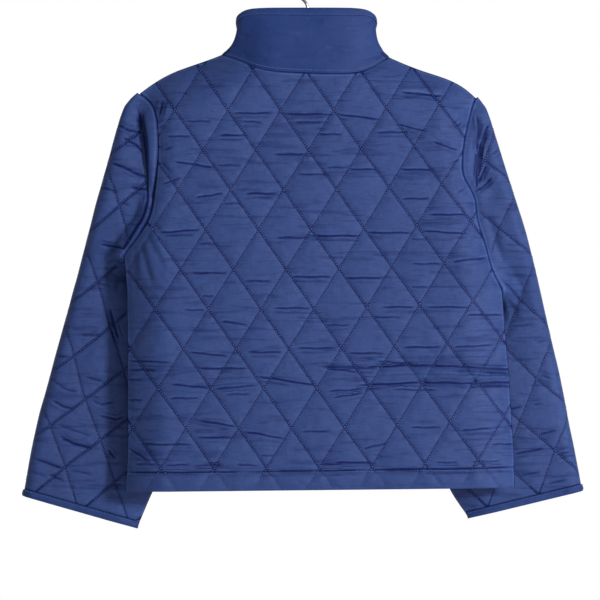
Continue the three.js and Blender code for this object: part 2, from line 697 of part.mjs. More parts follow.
function makePull() {
  const axis = pullAxis();
  const down = -axis.z;
  const half = pull.width / 2;
  const low = down + pull.length;
  const rightSide = [
    { x: half - pull.topInset, down: down - pull.bar / 2 },
    { x: half, down: down + pull.shoulder },
    { x: half - pull.lowInset, down: low - pull.lowCorner },
    { x: half - pull.lowCorner, down: low },
  ];
  const mirrored = (places) => places.map((place) => ({ x: -place.x, down: place.down })).reverse();
  const tab = [...rightSide, ...mirrored(rightSide)];
  const windowTop = down + pull.bar / 2;
  const windowSide = [
    { x: pull.window / 2, down: windowTop },
    { x: pull.window / 2, down: windowTop + pull.windowLength },
  ];
  const window = [...windowSide, ...mirrored(windowSide)];
  const [from, to] = [axis.y - pull.thick / 2, axis.y + pull.thick / 2];
  return prism(tab, from, to).subtract(prism(window, from - 1, to + 1));
}

// A bar with an oval section along a line of places at y = 0. Its two half sizes may change along it.
function sweptBar(line, halfTall, halfDeep, sectionSides) {
  const points = [];
  line.forEach((place, i) => {
    const before = line[Math.max(i - 1, 0)];
    const after = line[Math.min(i + 1, line.length - 1)];
    const direction = new THREE.Vector3(after.x - before.x, 0, before.down - after.down).normalize();
    const upright = new THREE.Vector3(-direction.z, 0, direction.x);
    const middle = new THREE.Vector3(place.x, 0, -place.down);
    for (let k = 0; k < sectionSides; k++) {
      const angle = (2 * Math.PI * k) / sectionSides;
      const point = middle.clone().addScaledVector(upright, halfTall(place) * Math.cos(angle));
      point.y = halfDeep(place) * Math.sin(angle);
      points.push(point);
    }
  });
  const faces = [];
  for (let i = 0; i + 1 < line.length; i++) {
    for (let k = 0; k < sectionSides; k++) {
      const next = (k + 1) % sectionSides;
      const [a, b] = [i * sectionSides + k, i * sectionSides + next];
      const [c, d] = [b + sectionSides, a + sectionSides];
      faces.push([a, b, c], [a, c, d]);
    }
  }
  const last = (line.length - 1) * sectionSides;
  for (let k = 1; k + 1 < sectionSides; k++) {
    faces.push([0, k + 1, k], [last, last + k, last + k + 1]);
  }
  return solidFrom(points, faces);
}

// The place under a shoulder line at an x, a distance below it and square to it.
function underShoulder(shoulder, x, depth) {
  const slope = (shoulder.tipDown - shoulder.neckDown) / (shoulder.tipX - shoulder.neckX);
  const scale = depth / Math.hypot(1, slope);
  return { x: x - slope * scale, down: shoulder.neckDown + slope * (x - shoulder.neckX) + scale };
}

function makeHanger() {
  const { left, right } = shoulders;
  const tips = { left: left.tipX + hanger.tipIn, right: right.tipX - hanger.tipIn };
  const scaleAt = (place) => {
    const toTip = Math.min(place.x - tips.left, tips.right - place.x);
    return mix(hanger.tipScale, 1, ease(toTip / hanger.taper));
  };
  const armPlaces = (shoulder, xs) => xs.map((x) => (
    underShoulder(shoulder, x, hanger.below + hanger.halfTall * scaleAt({ x }))
  ));
  const line = smoothLine([
    ...armPlaces(left, spread(tips.left, left.neckX + hanger.neckIn, hanger.armSteps)),
    { x: 0, down: hanger.centreDown },
    ...armPlaces(right, spread(right.neckX - hanger.neckIn, tips.right, hanger.armSteps)),
  ], hanger.steps);
  const tall = (place) => hanger.halfTall * scaleAt(place);
  const deep = (place) => hanger.halfDeep * scaleAt(place);
  return sweptBar(line, tall, deep, hanger.sides);
}

function makeHook() {
  const radius = hook.loopRadius;
  const centreDown = radius - hook.wireRadius;
  const loop = spread(hook.loopFrom, hook.loopTo, hook.loopSteps).map((degrees) => {
    const angle = THREE.MathUtils.degToRad(degrees);
    return { x: radius * Math.sin(angle), down: centreDown - radius * Math.cos(angle) };
  });
  const line = smoothLine([
    { x: 0, down: hanger.centreDown - hanger.halfTall - cloth.seamGap },
    { x: hook.straightX / 2, down: hook.lowDown },
    { x: hook.straightX, down: hook.straightDown },
    { x: hook.leanX, down: hook.leanDown },
    ...loop,
  ], hook.steps);
  return sweptBar(line, () => hook.wireRadius, () => hook.wireRadius, hook.sides);
}

// Turns a solid into a named mesh.
function meshOf(name, solid, material) {
  const { vertProperties, triVerts } = solid.getMesh();
  const geometry = new THREE.BufferGeometry();
  geometry.setAttribute('position', new THREE.BufferAttribute(new Float32Array(vertProperties), 3));
  geometry.setIndex(new THREE.BufferAttribute(new Uint32Array(triVerts), 1));
  geometry.computeVertexNormals();
  const mesh = new THREE.Mesh(geometry, material);
  mesh.name = name;
  return mesh;
}

const material = (color, roughness, metalness) => (
  new THREE.MeshStandardMaterial({ color, roughness, metalness })
);
const quiltedCloth = material(0x3c4f88, 0.7, 0);
const plainCloth = material(0x384a80, 0.75, 0);
const zipCloth = material(0x2a3a6c, 0.85, 0);
const zipMetal = material(0x9aa0ac, 0.35, 1);
const wood = material(0xb98d5a, 0.55, 0);
const steel = material(0xb9bcc0, 0.25, 1);

const jacket = new THREE.Group();
const add = (name, solid, finish) => jacket.add(meshOf(name, solid, finish));
const fronts = makeFronts();
const collarParts = makeCollar();
add('back', makeBack(), quiltedCloth);
add('front_left', fronts.left, quiltedCloth);
add('front_right', fronts.right, quiltedCloth);
for (const side of ['left', 'right']) {
  add(`sleeve_${side}`, makeSleeve(side), quiltedCloth);
  add(`cuff_binding_${side}`, makeCuffBinding(side), plainCloth);
}
add('collar', collarParts.stand, plainCloth);
add('collar_binding', collarParts.band, plainCloth);
const tapeLayer = [-cloth.seamGap - zip.tape, -cloth.seamGap];
add('zip_tape_left', frontStrip(-zip.tapeWidth, -zip.tapeGap, ...tapeLayer), zipCloth);
add('zip_tape_right', frontStrip(zip.tapeGap, zip.tapeWidth, ...tapeLayer), zipCloth);
add('zip_chain', frontStrip(-zip.half, zip.half, 0, zip.chain), zipMetal);
add('zip_slider', makeSlider(), zipMetal);
add('zip_pull', makePull(), zipMetal);
add('hanger', makeHanger(), wood);
add('hook', makeHook(), steel);

export default jacket;
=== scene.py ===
"""A child's quilted jacket on a wooden hanger, seen from behind as it hangs.

Lengths are worked out in millimetres and put into the meshes in metres. A place on the garment is given
by x, to the right seen from behind, and down, the distance below the inside top of the hanger's hook.
"""
import math

import bpy
import numpy as np
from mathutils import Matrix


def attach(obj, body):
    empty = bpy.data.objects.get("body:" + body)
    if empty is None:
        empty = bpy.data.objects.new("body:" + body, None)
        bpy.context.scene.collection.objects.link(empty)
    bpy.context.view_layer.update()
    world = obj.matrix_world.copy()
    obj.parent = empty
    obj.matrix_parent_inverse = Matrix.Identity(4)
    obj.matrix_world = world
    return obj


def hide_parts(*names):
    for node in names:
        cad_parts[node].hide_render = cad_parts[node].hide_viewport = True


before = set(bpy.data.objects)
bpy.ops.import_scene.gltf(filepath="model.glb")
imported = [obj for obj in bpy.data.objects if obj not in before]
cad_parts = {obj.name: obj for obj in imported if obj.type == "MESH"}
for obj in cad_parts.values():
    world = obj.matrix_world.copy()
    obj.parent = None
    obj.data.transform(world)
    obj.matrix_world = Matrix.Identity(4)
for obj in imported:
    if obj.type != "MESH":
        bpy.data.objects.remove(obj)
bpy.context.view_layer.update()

MM = 0.001

# The cloth and its quilting.
WALL, PUFF, BINDING = 1.6, 2.2, 2.4
DIAMOND_WIDE, DIAMOND_TALL = 52.6, 79.2
DIAMOND_SIDE = math.hypot(DIAMOND_WIDE, DIAMOND_TALL)
LINE_SLOPE = math.hypot(1 / DIAMOND_WIDE, 1 / DIAMOND_TALL)
# The padding is part sharp groove and part wide dome: their widths and shares.
GROOVE, DOME = 2.6, 8.0
GROOVE_SHARE, DOME_SHARE = 0.45, 0.55
# Puckers beside the stitched lines: height, pitch, reach, and how far and over what lengths they wander.
PUCKER, PUCKER_PITCH, PUCKER_REACH, PUCKER_WANDER = 0.22, 8.3, 6.0, 2.4
WANDER_ONE, WANDER_TWO = (23, 31), (19, 37)

# The body: widths and half depths at a few heights, and the shoulder lines.
SIDE_DOWN = np.array([129, 230, 292, 326, 411, 489, 530.0])
SIDE_LEFT = np.array([-168, -177, -182.8, -179.5, -179, -179, -181.0])
SIDE_RIGHT = np.array([169, 182, 190, 194.5, 201.5, 206.5, 207.0])
SIDE_HALF = np.array([19, 20, 19, 18.5, 17, 18, 18.5])
NECK_LEFT, TIP_LEFT = (-84.5, 91.0), (-168.0, 129.4)
NECK_RIGHT, TIP_RIGHT = (81.7, 93.7), (169.0, 133.5)
# How far each shoulder line swells above the straight line from neck to tip, and a power that moves the
# swell towards the tip.
SWELL_LEFT, SWELL_RIGHT = (4.4, 1.5), (5.0, 2.3)
# The body's hollow begins this far in from its edges and grows to its full depth over this width.
EDGE_INSET, EDGE_ROUND = 3.0, 40.0
# How far down the hem's edge is at its left and right ends, and the height of the turned hem.
HEM_LEFT, HEM_RIGHT, HEM_DEEP = 527.8, 523.0, 18.0
# The armhole seams from the shoulder's tip to the underarm, as x and down.
ARMHOLES = {
    "left": [(-168, 129.4), (-158.4, 136.4), (-151.4, 147.4), (-148.4, 168), (-148.4, 198), (-152.1, 234),
             (-156.1, 253), (-164.7, 268), (-174.1, 281), (-182.8, 292)],
    "right": [(169, 133.5), (163.8, 147), (157.8, 171), (154.4, 196), (155.5, 211.5), (161.5, 223.5),
              (167.5, 237), (169.8, 256.5), (176.5, 277.5), (184, 304.5), (194.5, 325.5)],
}
# The back neck line, and the front one's depth at the zip with the power of its curve.
NECK_BACK = [(-84.5, 91), (-66, 97.8), (-51, 103.9), (-35, 107.3), (-10, 109), (23, 110), (48, 109.5),
             (65.4, 103.9), (81.7, 93.7)]
NECK_FRONT_DROP, NECK_FRONT_POWER = 144.0, 2.2


class Sleeve:
    """The sizes of one sleeve: which way is out, its axis, its folded outer edge and its seam."""

    def __init__(self, side, out, centre, tilt, end, outer, inner, fold_deep, fold_wide, fold_line):
        self.side, self.out, self.centre, self.end = side, out, centre, end
        self.tilt = math.radians(tilt)
        self.outer, self.inner = outer, inner
        self.fold_deep, self.fold_wide, self.fold_line = fold_deep, fold_wide, np.array(fold_line, float)


SLEEVES = {
    "left": Sleeve("left", -1, (-217, 435), 15.9, 113.0,
                   [(-168, 129.4), (-177, 138), (-184, 151), (-197, 196), (-222, 286), (-255, 406),
                    (-271, 466), (-283, 528.6)],
                   [(-182.9, 292.2), (-181, 301), (-175, 311), (-157, 325), (-136, 350), (-124, 388),
                    (-123, 442), (-136, 490), (-154.7, 527.7), (-168.7, 560.2)],
                   4.5, 10, [(-168, 158), (-158, 228), (-170, 256)]),
    "right": Sleeve("right", 1, (213.6, 340.6), 13.6, 197.0,
                    [(169, 133.5), (174, 140), (180, 151), (194, 196), (222, 286), (251, 406), (263, 466),
                     (274.4, 523)],
                    [(194.6, 326.4), (194.5, 336), (190, 348), (172, 364), (153, 390), (141, 424),
                     (137, 462), (138.5, 500), (143, 525), (161.3, 553)],
                    2.5, 9, [(179, 162), (169, 205), (184, 230)]),
}
# A sleeve's fold is a half round of this radius, smaller at the shoulder's tip. The sleeve closes over a
# width at its seam, leaves the body's shape over a width, and hangs this far before the body's middle.
SLEEVE_RADIUS, SLEEVE_TIP_RADIUS = 9.5, 2.0
SEAM_ROUND, SLEEVE_BLEND, SLEEVE_FORWARD = 30.0, 22.0, 35.0
# The height of a cuff's binding.
CUFF_BINDING = 7.5

# The collar: half widths and middles of its base and top, and where its top is at the back and front.
COLLAR = dict(base_half=83.1, base_centre=-1.4, top_half=67.2, top_centre=-0.6, top_depth=17, top_back=44.5,
              top_front=98, top_fall=2.2, squareness=0.62, band_end=0.12)
# The zip: half the chain's width, its thickness, the fronts' edges beside it, its top and bottom.
ZIP_HALF, ZIP_CHAIN, ZIP_EDGE, ZIP_TOP, ZIP_BOTTOM = 3.1, 2.2, 3.5, 101.0, 521.0


def ease(t):
    """A smooth step from 0 to 1: three t squared less two t cubed."""
    c = np.clip(t, 0, 1)
    return c * c * (3 - 2 * c)


def rounding(t):
    """A quarter sine that rises from 0 to 1 and runs on a little below 0."""
    return np.sin(math.pi / 2 * np.clip(t, -0.8, 1))


def mix(a, b, t):
    """The straight blend of a and b."""
    return a + (b - a) * t


def smooth_line(places, count):
    """A Catmull-Rom line through a list of places, with count steps."""
    table = np.array(places, float)
    last = len(table) - 1
    at = np.linspace(0, last, count + 1)
    i = np.minimum(at.astype(int), last)
    w = (at - i)[:, None]
    p0, p1 = table[np.maximum(i - 1, 0)], table[i]
    p2, p3 = table[np.minimum(i + 1, last)], table[np.minimum(i + 2, last)]
    v0, v1 = (p2 - p0) / 2, (p3 - p1) / 2
    return (2 * p1 - 2 * p2 + v0 + v1) * w ** 3 + (3 * p2 - 3 * p1 - 2 * v0 - v1) * w ** 2 + v0 * w + p1


def nearest(line, x, down):
    """The nearest point of a line to each place and its distance, tried on every segment."""
    best = np.full(np.shape(x), np.inf)
    best_x, best_down = np.zeros_like(best), np.zeros_like(best)
    for (ax, ad), (bx, bd) in zip(line[:-1], line[1:]):
        length = (bx - ax) ** 2 + (bd - ad) ** 2
        t = np.clip(((x - ax) * (bx - ax) + (down - ad) * (bd - ad)) / length, 0, 1)
        px, pd = mix(ax, bx, t), mix(ad, bd, t)
        distance = np.hypot(x - px, down - pd)
        closer = distance < best
        best = np.where(closer, distance, best)
        best_x, best_down = np.where(closer, px, best_x), np.where(closer, pd, best_down)
    return best_x, best_down, best


ARMHOLE_LINES = {side: smooth_line(places, 30) for side, places in ARMHOLES.items()}
NECK_BACK_LINE = smooth_line(NECK_BACK, 24)


def shoulder_down(neck, tip, swell, x):
    """A shoulder line: straight from the neck to the tip, with half a sine wave above it."""
    t = np.clip((x - neck[0]) / (tip[0] - neck[0]), 0, 1)
    slope = (tip[1] - neck[1]) / (tip[0] - neck[0])
    return neck[1] + slope * (x - neck[0]) - swell[0] * np.sin(math.pi * t ** swell[1])


def below_shoulders(x, down):
    """The distances of a place below the two shoulder lines, square to them."""
    below = []
    for neck, tip, swell in ((NECK_LEFT, TIP_LEFT, SWELL_LEFT), (NECK_RIGHT, TIP_RIGHT, SWELL_RIGHT)):
        slope = (tip[1] - neck[1]) / (tip[0] - neck[0])
        below.append((down - shoulder_down(neck, tip, swell, x)) / math.hypot(1, slope))
    return below


def body_half(x, down):
    """Half the depth of the body's hollow: full in the middle, a quarter sine to none at each edge."""
    half = np.interp(down, SIDE_DOWN, SIDE_HALF)
    sides = [x - np.interp(down, SIDE_DOWN, SIDE_LEFT), np.interp(down, SIDE_DOWN, SIDE_RIGHT) - x]
    for edge in sides + below_shoulders(x, down):
        half = half * rounding((edge - EDGE_INSET) / EDGE_ROUND)
    return half


def neck_front_down(x):
    """The front neck line: deepest at the zip, rising as a power of x to the neck points."""
    end_x = np.where(x < 0, NECK_LEFT[0], NECK_RIGHT[0])
    end_down = np.where(x < 0, NECK_LEFT[1], NECK_RIGHT[1])
    return mix(NECK_FRONT_DROP, end_down, np.clip(np.abs(x / end_x), 0, 1) ** NECK_FRONT_POWER)


def normals_of(surface, a, b):
    """Unit normals of a surface of two parameters, from two short steps on it."""
    step = 0.5
    along = surface(a + step, b) - surface(a - step, b)
    across = surface(a, b + step) - surface(a, b - step)
    normal = np.cross(along, across)
    return normal / np.maximum(np.linalg.norm(normal, axis=-1, keepdims=True), 1e-9)


def line_distances(along, across):
    """How far a place is from the nearest stitched line of each of the two directions."""
    one = across / DIAMOND_WIDE + along / DIAMOND_TALL
    two = across / DIAMOND_WIDE - along / DIAMOND_TALL
    return np.abs(one - np.round(one)) / LINE_SLOPE, np.abs(two - np.round(two)) / LINE_SLOPE


def padding(along, across):
    """The padding's height: a narrow groove at each stitched line cut into a low dome, and short puckers
    square to the lines, each a bell of the distance to the line times a sine of the way along it."""
    first, second = line_distances(along, across)
    groove = (1 - np.exp(-first / GROOVE)) * (1 - np.exp(-second / GROOVE))
    dome = (1 - np.exp(-first / DOME)) * (1 - np.exp(-second / DOME))
    run_one = (across * DIAMOND_WIDE - along * DIAMOND_TALL) / DIAMOND_SIDE
    run_two = (across * DIAMOND_WIDE + along * DIAMOND_TALL) / DIAMOND_SIDE
    turn = 2 * math.pi / PUCKER_PITCH
    wander_one = PUCKER_WANDER * np.sin(run_one / WANDER_ONE[0] + along / WANDER_ONE[1])
    wander_two = PUCKER_WANDER * np.sin(run_two / WANDER_TWO[0] + across / WANDER_TWO[1])
    pucker = np.exp(-(first / PUCKER_REACH) ** 2) * np.sin(turn * run_one + wander_one)
    pucker += np.exp(-(second / PUCKER_REACH) ** 2) * np.sin(turn * run_two + wander_two)
    return PUFF * (GROOVE_SHARE * groove + DOME_SHARE * dome) + PUCKER * pucker * groove


# A crease sags a little off its straight line, in waves, and has a low, wide ridge above it.
SAG, SAG_WAVES = 0.22, 3.3
CREASE_RIDGE_OFF, CREASE_RIDGE_WIDE, CREASE_RIDGE = 2.2, 1.5, 0.45
# A crease fades over a fifth of its length, a stroke over a few millimetres, from a first small share.
CREASE_FADE, CREASE_START = 5, 0.3
STROKE_FADE, STROKE_START = 7, 0.25
STROKE_RIDGE_OFF, STROKE_RIDGE_WIDE, STROKE_RIDGE = 2.0, 1.2, 0.3
# The distance to the nearest crease where there is none.
NO_CREASE = 30.0


def creases(rows, x, down):
    """The height of soft creases, how far each place is below the nearest one, and how deep that one is.

    Each row is x from, x to, down from, down to, depth, width. A crease is a bell curve of the distance
    below its line, less a wider, lower bell above it, and it fades in and out at its ends.
    """
    shape = np.broadcast(x, down).shape
    height, off, deep = np.zeros(shape), np.full(shape, NO_CREASE), np.zeros(shape)
    for x_from, x_to, down_from, down_to, depth, width in rows:
        t = (x - x_from) / (x_to - x_from)
        sag = SAG * np.sin(SAG_WAVES * math.pi * np.clip(t, 0, 1) + x_from)
        over = down - mix(down_from, down_to, t) - sag
        fade = ease(t * CREASE_FADE + CREASE_START) * ease((1 - t) * CREASE_FADE + CREASE_START)
        trough = np.exp(-(over / width) ** 2)
        ridge = np.exp(-((over + CREASE_RIDGE_OFF * width) / (CREASE_RIDGE_WIDE * width)) ** 2)
        height += fade * depth * (CREASE_RIDGE * ridge - trough)
        nearer = (np.abs(over) < np.abs(off)) & (fade > 0)
        off = np.where(nearer, over, off)
        deep = np.where(nearer, depth * fade, deep)
    return height, off, deep


def strokes(rows, x, down):
    """The same three for folds that are drawn as short lines of points, in any direction.

    Each row is the points, depth, width. The bell across it has a low ridge on both its sides.
    """
    shape = np.broadcast(x, down).shape
    height, off, deep = np.zeros(shape), np.full(shape, NO_CREASE), np.zeros(shape)
    for points, depth, width in rows:
        line = np.array(points, float)
        near_x, near_down, distance = nearest(line, x, down)
        from_start = np.hypot(near_x - line[0, 0], near_down - line[0, 1])
        from_end = np.hypot(near_x - line[-1, 0], near_down - line[-1, 1])
        fade = ease(from_start / STROKE_FADE + STROKE_START) * ease(from_end / STROKE_FADE + STROKE_START)
        ridge = np.exp(-((distance - STROKE_RIDGE_OFF * width) / (STROKE_RIDGE_WIDE * width)) ** 2)
        height += fade * depth * (STROKE_RIDGE * ridge - np.exp(-(distance / width) ** 2))
        nearer = distance < off
        off, deep = np.where(nearer, distance, off), np.where(nearer, depth * fade, deep)
    return height, off, deep


def nearer_of(one, two):
    """The off and deep of the nearer fold of two sets."""
    closer = np.abs(one[1]) < np.abs(two[1])
    return np.where(closer, one[1], two[1]), np.where(closer, one[2], two[2])


def ripple(x, down, wide, tall, seed):
    """An uneven low swell: five sine waves of different directions with phases from a seed."""
    rng = np.random.default_rng(seed)
    total = np.zeros(np.broadcast(x, down).shape)
    for _ in range(5):
        turn, phase = rng.uniform(0, math.pi), rng.uniform(0, 2 * math.pi)
        scale = rng.uniform(0.7, 1.5)
        run = x * math.cos(turn) / wide + down * math.sin(turn) / tall
        total += np.sin(2 * math.pi * scale * run + phase)
    return total / 5


# Creases of the back, read off the garment: x from, x to, down from, down to, depth, width.
BACK_CREASES = [
    (-73, -36, 150, 150, 1.0, 2.4), (-21, 26, 151, 151, 1.1, 2.6), (-121, -96, 158, 158, 0.8, 2.2),
    (-64, -45, 158, 159, 0.8, 2.2), (-12, 15, 159, 159, 0.8, 2.2), (31, 72, 151, 156, 1.2, 2.8),
    (94, 135, 130, 134, 1.2, 2.8), (90, 119, 161, 168, 1.0, 2.6), (69, 101, 169, 169, 1.0, 2.4),
    (11, 35, 171, 171, 0.9, 2.4), (-139, -116, 173, 173, 0.9, 2.4), (-87, -61, 172, 172, 0.9, 2.4),
    (126, 149, 178, 187, 1.0, 2.6), (-32, -3, 191, 191, 1.0, 2.6), (-132, -93, 198, 204, 1.2, 2.8),
    (-89, -66, 202, 202, 0.8, 2.2), (20, 42, 204, 204, 0.8, 2.2), (42, 70, 206, 206, 1.0, 2.4),
    (94, 126, 206, 206, 1.1, 2.6), (-9, 20, 211, 211, 0.9, 2.4), (-111, -84, 234, 230, 1.0, 2.6),
    (-62, -30, 230, 230, 1.0, 2.6), (95, 122, 235, 235, 1.0, 2.4), (-84, -66, 240, 240, 0.7, 2.2),
    (122, 158, 251, 251, 1.2, 2.8), (-146, -107, 269, 266, 1.1, 2.8), (60, 104, 269, 269, 1.1, 2.6),
    (115, 160, 267, 270, 1.2, 2.8), (-30, 2, 274, 274, 0.9, 2.4), (4, 53, 272, 272, 1.2, 2.8),
    (104, 119, 275, 276, 0.7, 2.2), (-107, -91, 280, 280, 0.7, 2.2), (145, 178, 298, 294, 1.0, 2.6),
    (104, 135, 300, 300, 0.9, 2.4), (-114, -80, 309, 309, 1.0, 2.6), (-16, 24, 313, 313, 1.1, 2.6),
    (37, 76, 314, 314, 1.1, 2.6), (-62, -36, 317, 317, 0.9, 2.4), (104, 120, 323, 323, 0.7, 2.2),
    (-105, -93, 332, 332, 0.7, 2.2), (-122, -102, 346, 346, 0.9, 2.4), (-33, 3, 344, 344, 1.0, 2.6),
    (75, 108, 343, 343, 1.0, 2.6), (119, 162, 343, 343, 1.1, 2.6), (159, 192, 351, 351, 1.0, 2.6),
    (67, 93, 353, 353, 0.8, 2.2), (-85, -59, 357, 361, 0.9, 2.4), (19, 42, 361, 361, 0.8, 2.2),
    (-10, 29, 384, 384, 1.0, 2.4), (95, 134, 383, 383, 1.1, 2.4), (147, 184, 383, 381, 1.0, 2.4),
    (-117, -79, 388, 392, 1.1, 2.4), (-59, -25, 388, 388, 1.0, 2.4), (42, 77, 389, 389, 1.0, 2.4),
    (-137, -108, 434, 434, 0.9, 2.4), (-81, -57, 430, 430, 0.8, 2.2), (27, 56, 433, 429, 0.9, 2.4),
    (-177, -163, 436, 436, 0.8, 2.2), (-108, -71, 456, 462, 1.1, 2.8), (103, 133, 463, 463, 1.0, 2.6),
    (154, 182, 466, 464, 1.0, 2.6), (-62, -23, 467, 474, 1.1, 2.8), (-5, 23, 467, 467, 0.9, 2.4),
    (-110, -74, 473, 473, 0.9, 2.4), (183, 205, 480, 480, 0.9, 2.4), (-166, -115, 480, 480, 1.0, 2.6),
    (57, 79, 484, 479, 0.9, 2.4), (-177, -156, 484, 497, 0.9, 2.6), (-46, -33, 491, 491, 0.7, 2.2),
    (-97, -87, 498, 498, 0.6, 2.0), (27, 65, 498, 498, 1.0, 2.4),
]
# The inside casing draws the waist into two uneven rows of puckers, deeper on the right.
WAIST_PUCKERS = [
    (-177, -136, 397, 398, 0.9, 2.2), (-177, -150, 406, 406, 0.9, 2.2), (-177, -163, 416, 416, 0.7, 2.0),
    (-136, -97, 420, 424, 1.1, 2.4), (-108, -59, 404, 404, 1.0, 2.2), (-49, 8, 412, 421, 1.3, 2.6),
    (21, 56, 427, 425, 0.9, 2.2), (-92, -50, 425, 421, 0.9, 2.2), (12, 70, 402, 404, 1.0, 2.4),
    (60, 108, 403, 401, 1.7, 2.2), (53, 120, 421, 418, 2.1, 2.4), (101, 150, 401, 402, 2.4, 2.4),
    (112, 160, 418, 419, 2.6, 2.6), (146, 205, 402, 406, 2.6, 2.4), (156, 206, 419, 418, 2.6, 2.6),
    (84, 130, 425, 426, 0.8, 1.8), (70, 104, 397, 399, 0.9, 1.8), (18, 52, 404, 408, 1.0, 2.0),
]
# Short puckers over the hem's line of sewing.
HEM_PUCKERS = [
    (-170, -150, 500, 500, 0.8, 2.0), (-140, -118, 501, 500, 0.8, 2.0), (-112, -84, 501, 501, 0.7, 2.0),
    (-70, -48, 500, 501, 0.8, 2.0), (-33, 7, 507, 507, 1.0, 2.2), (14, 34, 500, 500, 0.7, 2.0),
    (75, 116, 506, 506, 1.0, 2.2), (128, 150, 498, 498, 0.8, 2.0), (165, 190, 497, 497, 0.8, 2.0),
]
# The hem's line of sewing pulls the cloth in along its whole length.
HEM_LINE = [
    (-179, -60, 508.5, 507.5, 1.3, 1.6), (-62, 60, 507.5, 505.5, 1.3, 1.6), (58, 206, 505.5, 503, 1.4, 1.6),
]
# Creases of the hidden fronts, like the others, with lengths and places of their own.
FRONT_CREASES = [
    (-150, -112, 160, 163, 1.0, 2.6), (-92, -58, 186, 186, 1.0, 2.4), (-60, -22, 214, 217, 1.1, 2.6),
    (-140, -100, 232, 228, 1.1, 2.8), (-88, -50, 262, 262, 0.9, 2.4), (-48, -12, 301, 298, 1.0, 2.6),
    (-168, -128, 288, 292, 1.0, 2.6), (-112, -80, 322, 322, 0.9, 2.4), (-72, -30, 352, 350, 1.1, 2.6),
    (-170, -120, 402, 404, 1.4, 2.4), (-118, -64, 404, 402, 1.3, 2.4), (-60, -14, 403, 405, 1.3, 2.4),
    (-168, -110, 421, 419, 1.4, 2.6), (-104, -52, 420, 421, 1.2, 2.4), (-50, -12, 421, 420, 1.2, 2.4),
    (-96, -60, 462, 465, 1.0, 2.6), (-44, -10, 484, 482, 0.9, 2.4), (-160, -128, 470, 466, 1.0, 2.6),
    (16, 52, 166, 168, 1.0, 2.6), (66, 104, 176, 174, 1.0, 2.6), (110, 146, 206, 210, 1.1, 2.6),
    (20, 64, 238, 236, 1.1, 2.8), (84, 118, 252, 254, 0.9, 2.4), (130, 166, 268, 264, 1.0, 2.6),
    (30, 70, 288, 290, 1.0, 2.4), (92, 140, 316, 313, 1.1, 2.6), (150, 186, 340, 342, 1.0, 2.6),
    (14, 60, 403, 402, 1.3, 2.4), (66, 122, 402, 404, 1.4, 2.4), (126, 196, 405, 403, 1.6, 2.4),
    (12, 70, 420, 421, 1.3, 2.6), (76, 130, 421, 419, 1.3, 2.4), (138, 200, 420, 418, 1.6, 2.6),
    (40, 76, 456, 458, 1.0, 2.6), (96, 130, 476, 473, 1.0, 2.6), (150, 186, 462, 466, 1.0, 2.6),
]
# Gathers of the back below each underarm: x and down of their start, turn in degrees from straight down,
# length, depth, width.
BACK_GATHERS = [
    (-171, 280, 4, 44, 1.1, 2.6), (-166, 276, 16, 52, 1.3, 2.8), (-160, 268, 26, 46, 1.1, 2.8),
    (-156, 255, 38, 30, 0.8, 2.4), (176, 283, -12, 36, 0.7, 2.4), (170, 268, -20, 30, 0.7, 2.4),
]
# The middle and reach of the gathered underarm of the back, where the quilting is hidden.
GATHERED = (-170, 284, 22)
# Where the waist's casing hides the quilting: from this x on, its middle and half its height.
CASING_FROM, CASING_AT, CASING_HALF = 60.0, 410.5, 8.0
# Puckers of the back beside its armholes: their points, depth, width.
BACK_STROKES = [
    ([(-142, 138), (-146, 154)], 1.3, 1.8), ([(-151, 144), (-146, 146)], 0.9, 1.6),
    ([(-147, 181), (-144, 187)], 1.1, 1.6), ([(-142, 187), (-133, 183)], 1.0, 1.6),
    ([(-144, 221), (-125, 214)], 1.1, 1.8), ([(-145, 197), (-135, 209)], 0.9, 1.6),
    ([(-142, 272), (-112, 271)], 0.9, 1.8), ([(-146, 166), (-141, 160)], 0.9, 1.6),
    ([(154, 158), (146, 166)], 0.8, 1.8), ([(152, 196), (140, 201)], 0.8, 1.8),
    ([(158, 224), (148, 230)], 0.9, 1.8),
]
# The same of the hidden fronts, in places of their own.
FRONT_STROKES = [
    ([(-145, 150), (-136, 158)], 1.0, 1.8), ([(-146, 188), (-132, 184)], 1.0, 1.8),
    ([(-142, 218), (-130, 226)], 1.0, 1.8), ([(150, 152), (142, 160)], 1.0, 1.8),
    ([(150, 190), (138, 193)], 1.0, 1.8), ([(152, 220), (142, 212)], 0.9, 1.8),
]
FRONT_GATHERS = [
    (-172, 286, 8, 40, 1.0, 2.6), (-164, 272, 22, 44, 1.0, 2.8), (178, 300, -10, 40, 1.0, 2.6),
    (170, 282, -24, 42, 0.9, 2.8),
]
# A gather has a low ridge on one side, fades in over one length and out over another.
GATHER_RIDGE_OFF, GATHER_RIDGE_WIDE, GATHER_RIDGE = 1.9, 1.3, 0.5
GATHER_IN, GATHER_OUT = 8, 16


def gathers(rows, x, down):
    """Soft folds that run from a point in a direction: a bell curve across each, fading in and out."""
    height = np.zeros(np.broadcast(x, down).shape)
    for from_x, from_down, turn, length, depth, width in rows:
        turned = math.radians(turn)
        run = (x - from_x) * math.sin(turned) + (down - from_down) * math.cos(turned)
        off = (x - from_x) * math.cos(turned) - (down - from_down) * math.sin(turned)
        ridge = np.exp(-((off - GATHER_RIDGE_OFF * width) / (GATHER_RIDGE_WIDE * width)) ** 2)
        fade = ease(run / GATHER_IN) * ease((length - run) / GATHER_OUT)
        height += depth * fade * (GATHER_RIDGE * ridge - np.exp(-(off / width) ** 2))
    return height


# The back's quilting: x and down of one crossing of its lines, how far the columns lean to the right for
# each millimetre down, and from which x, and how steeply, the rows rise.
BACK_QUILT = dict(x=-25.7, down=147.0, drift=0.034, rise_from=-22.0, rise=0.00024)


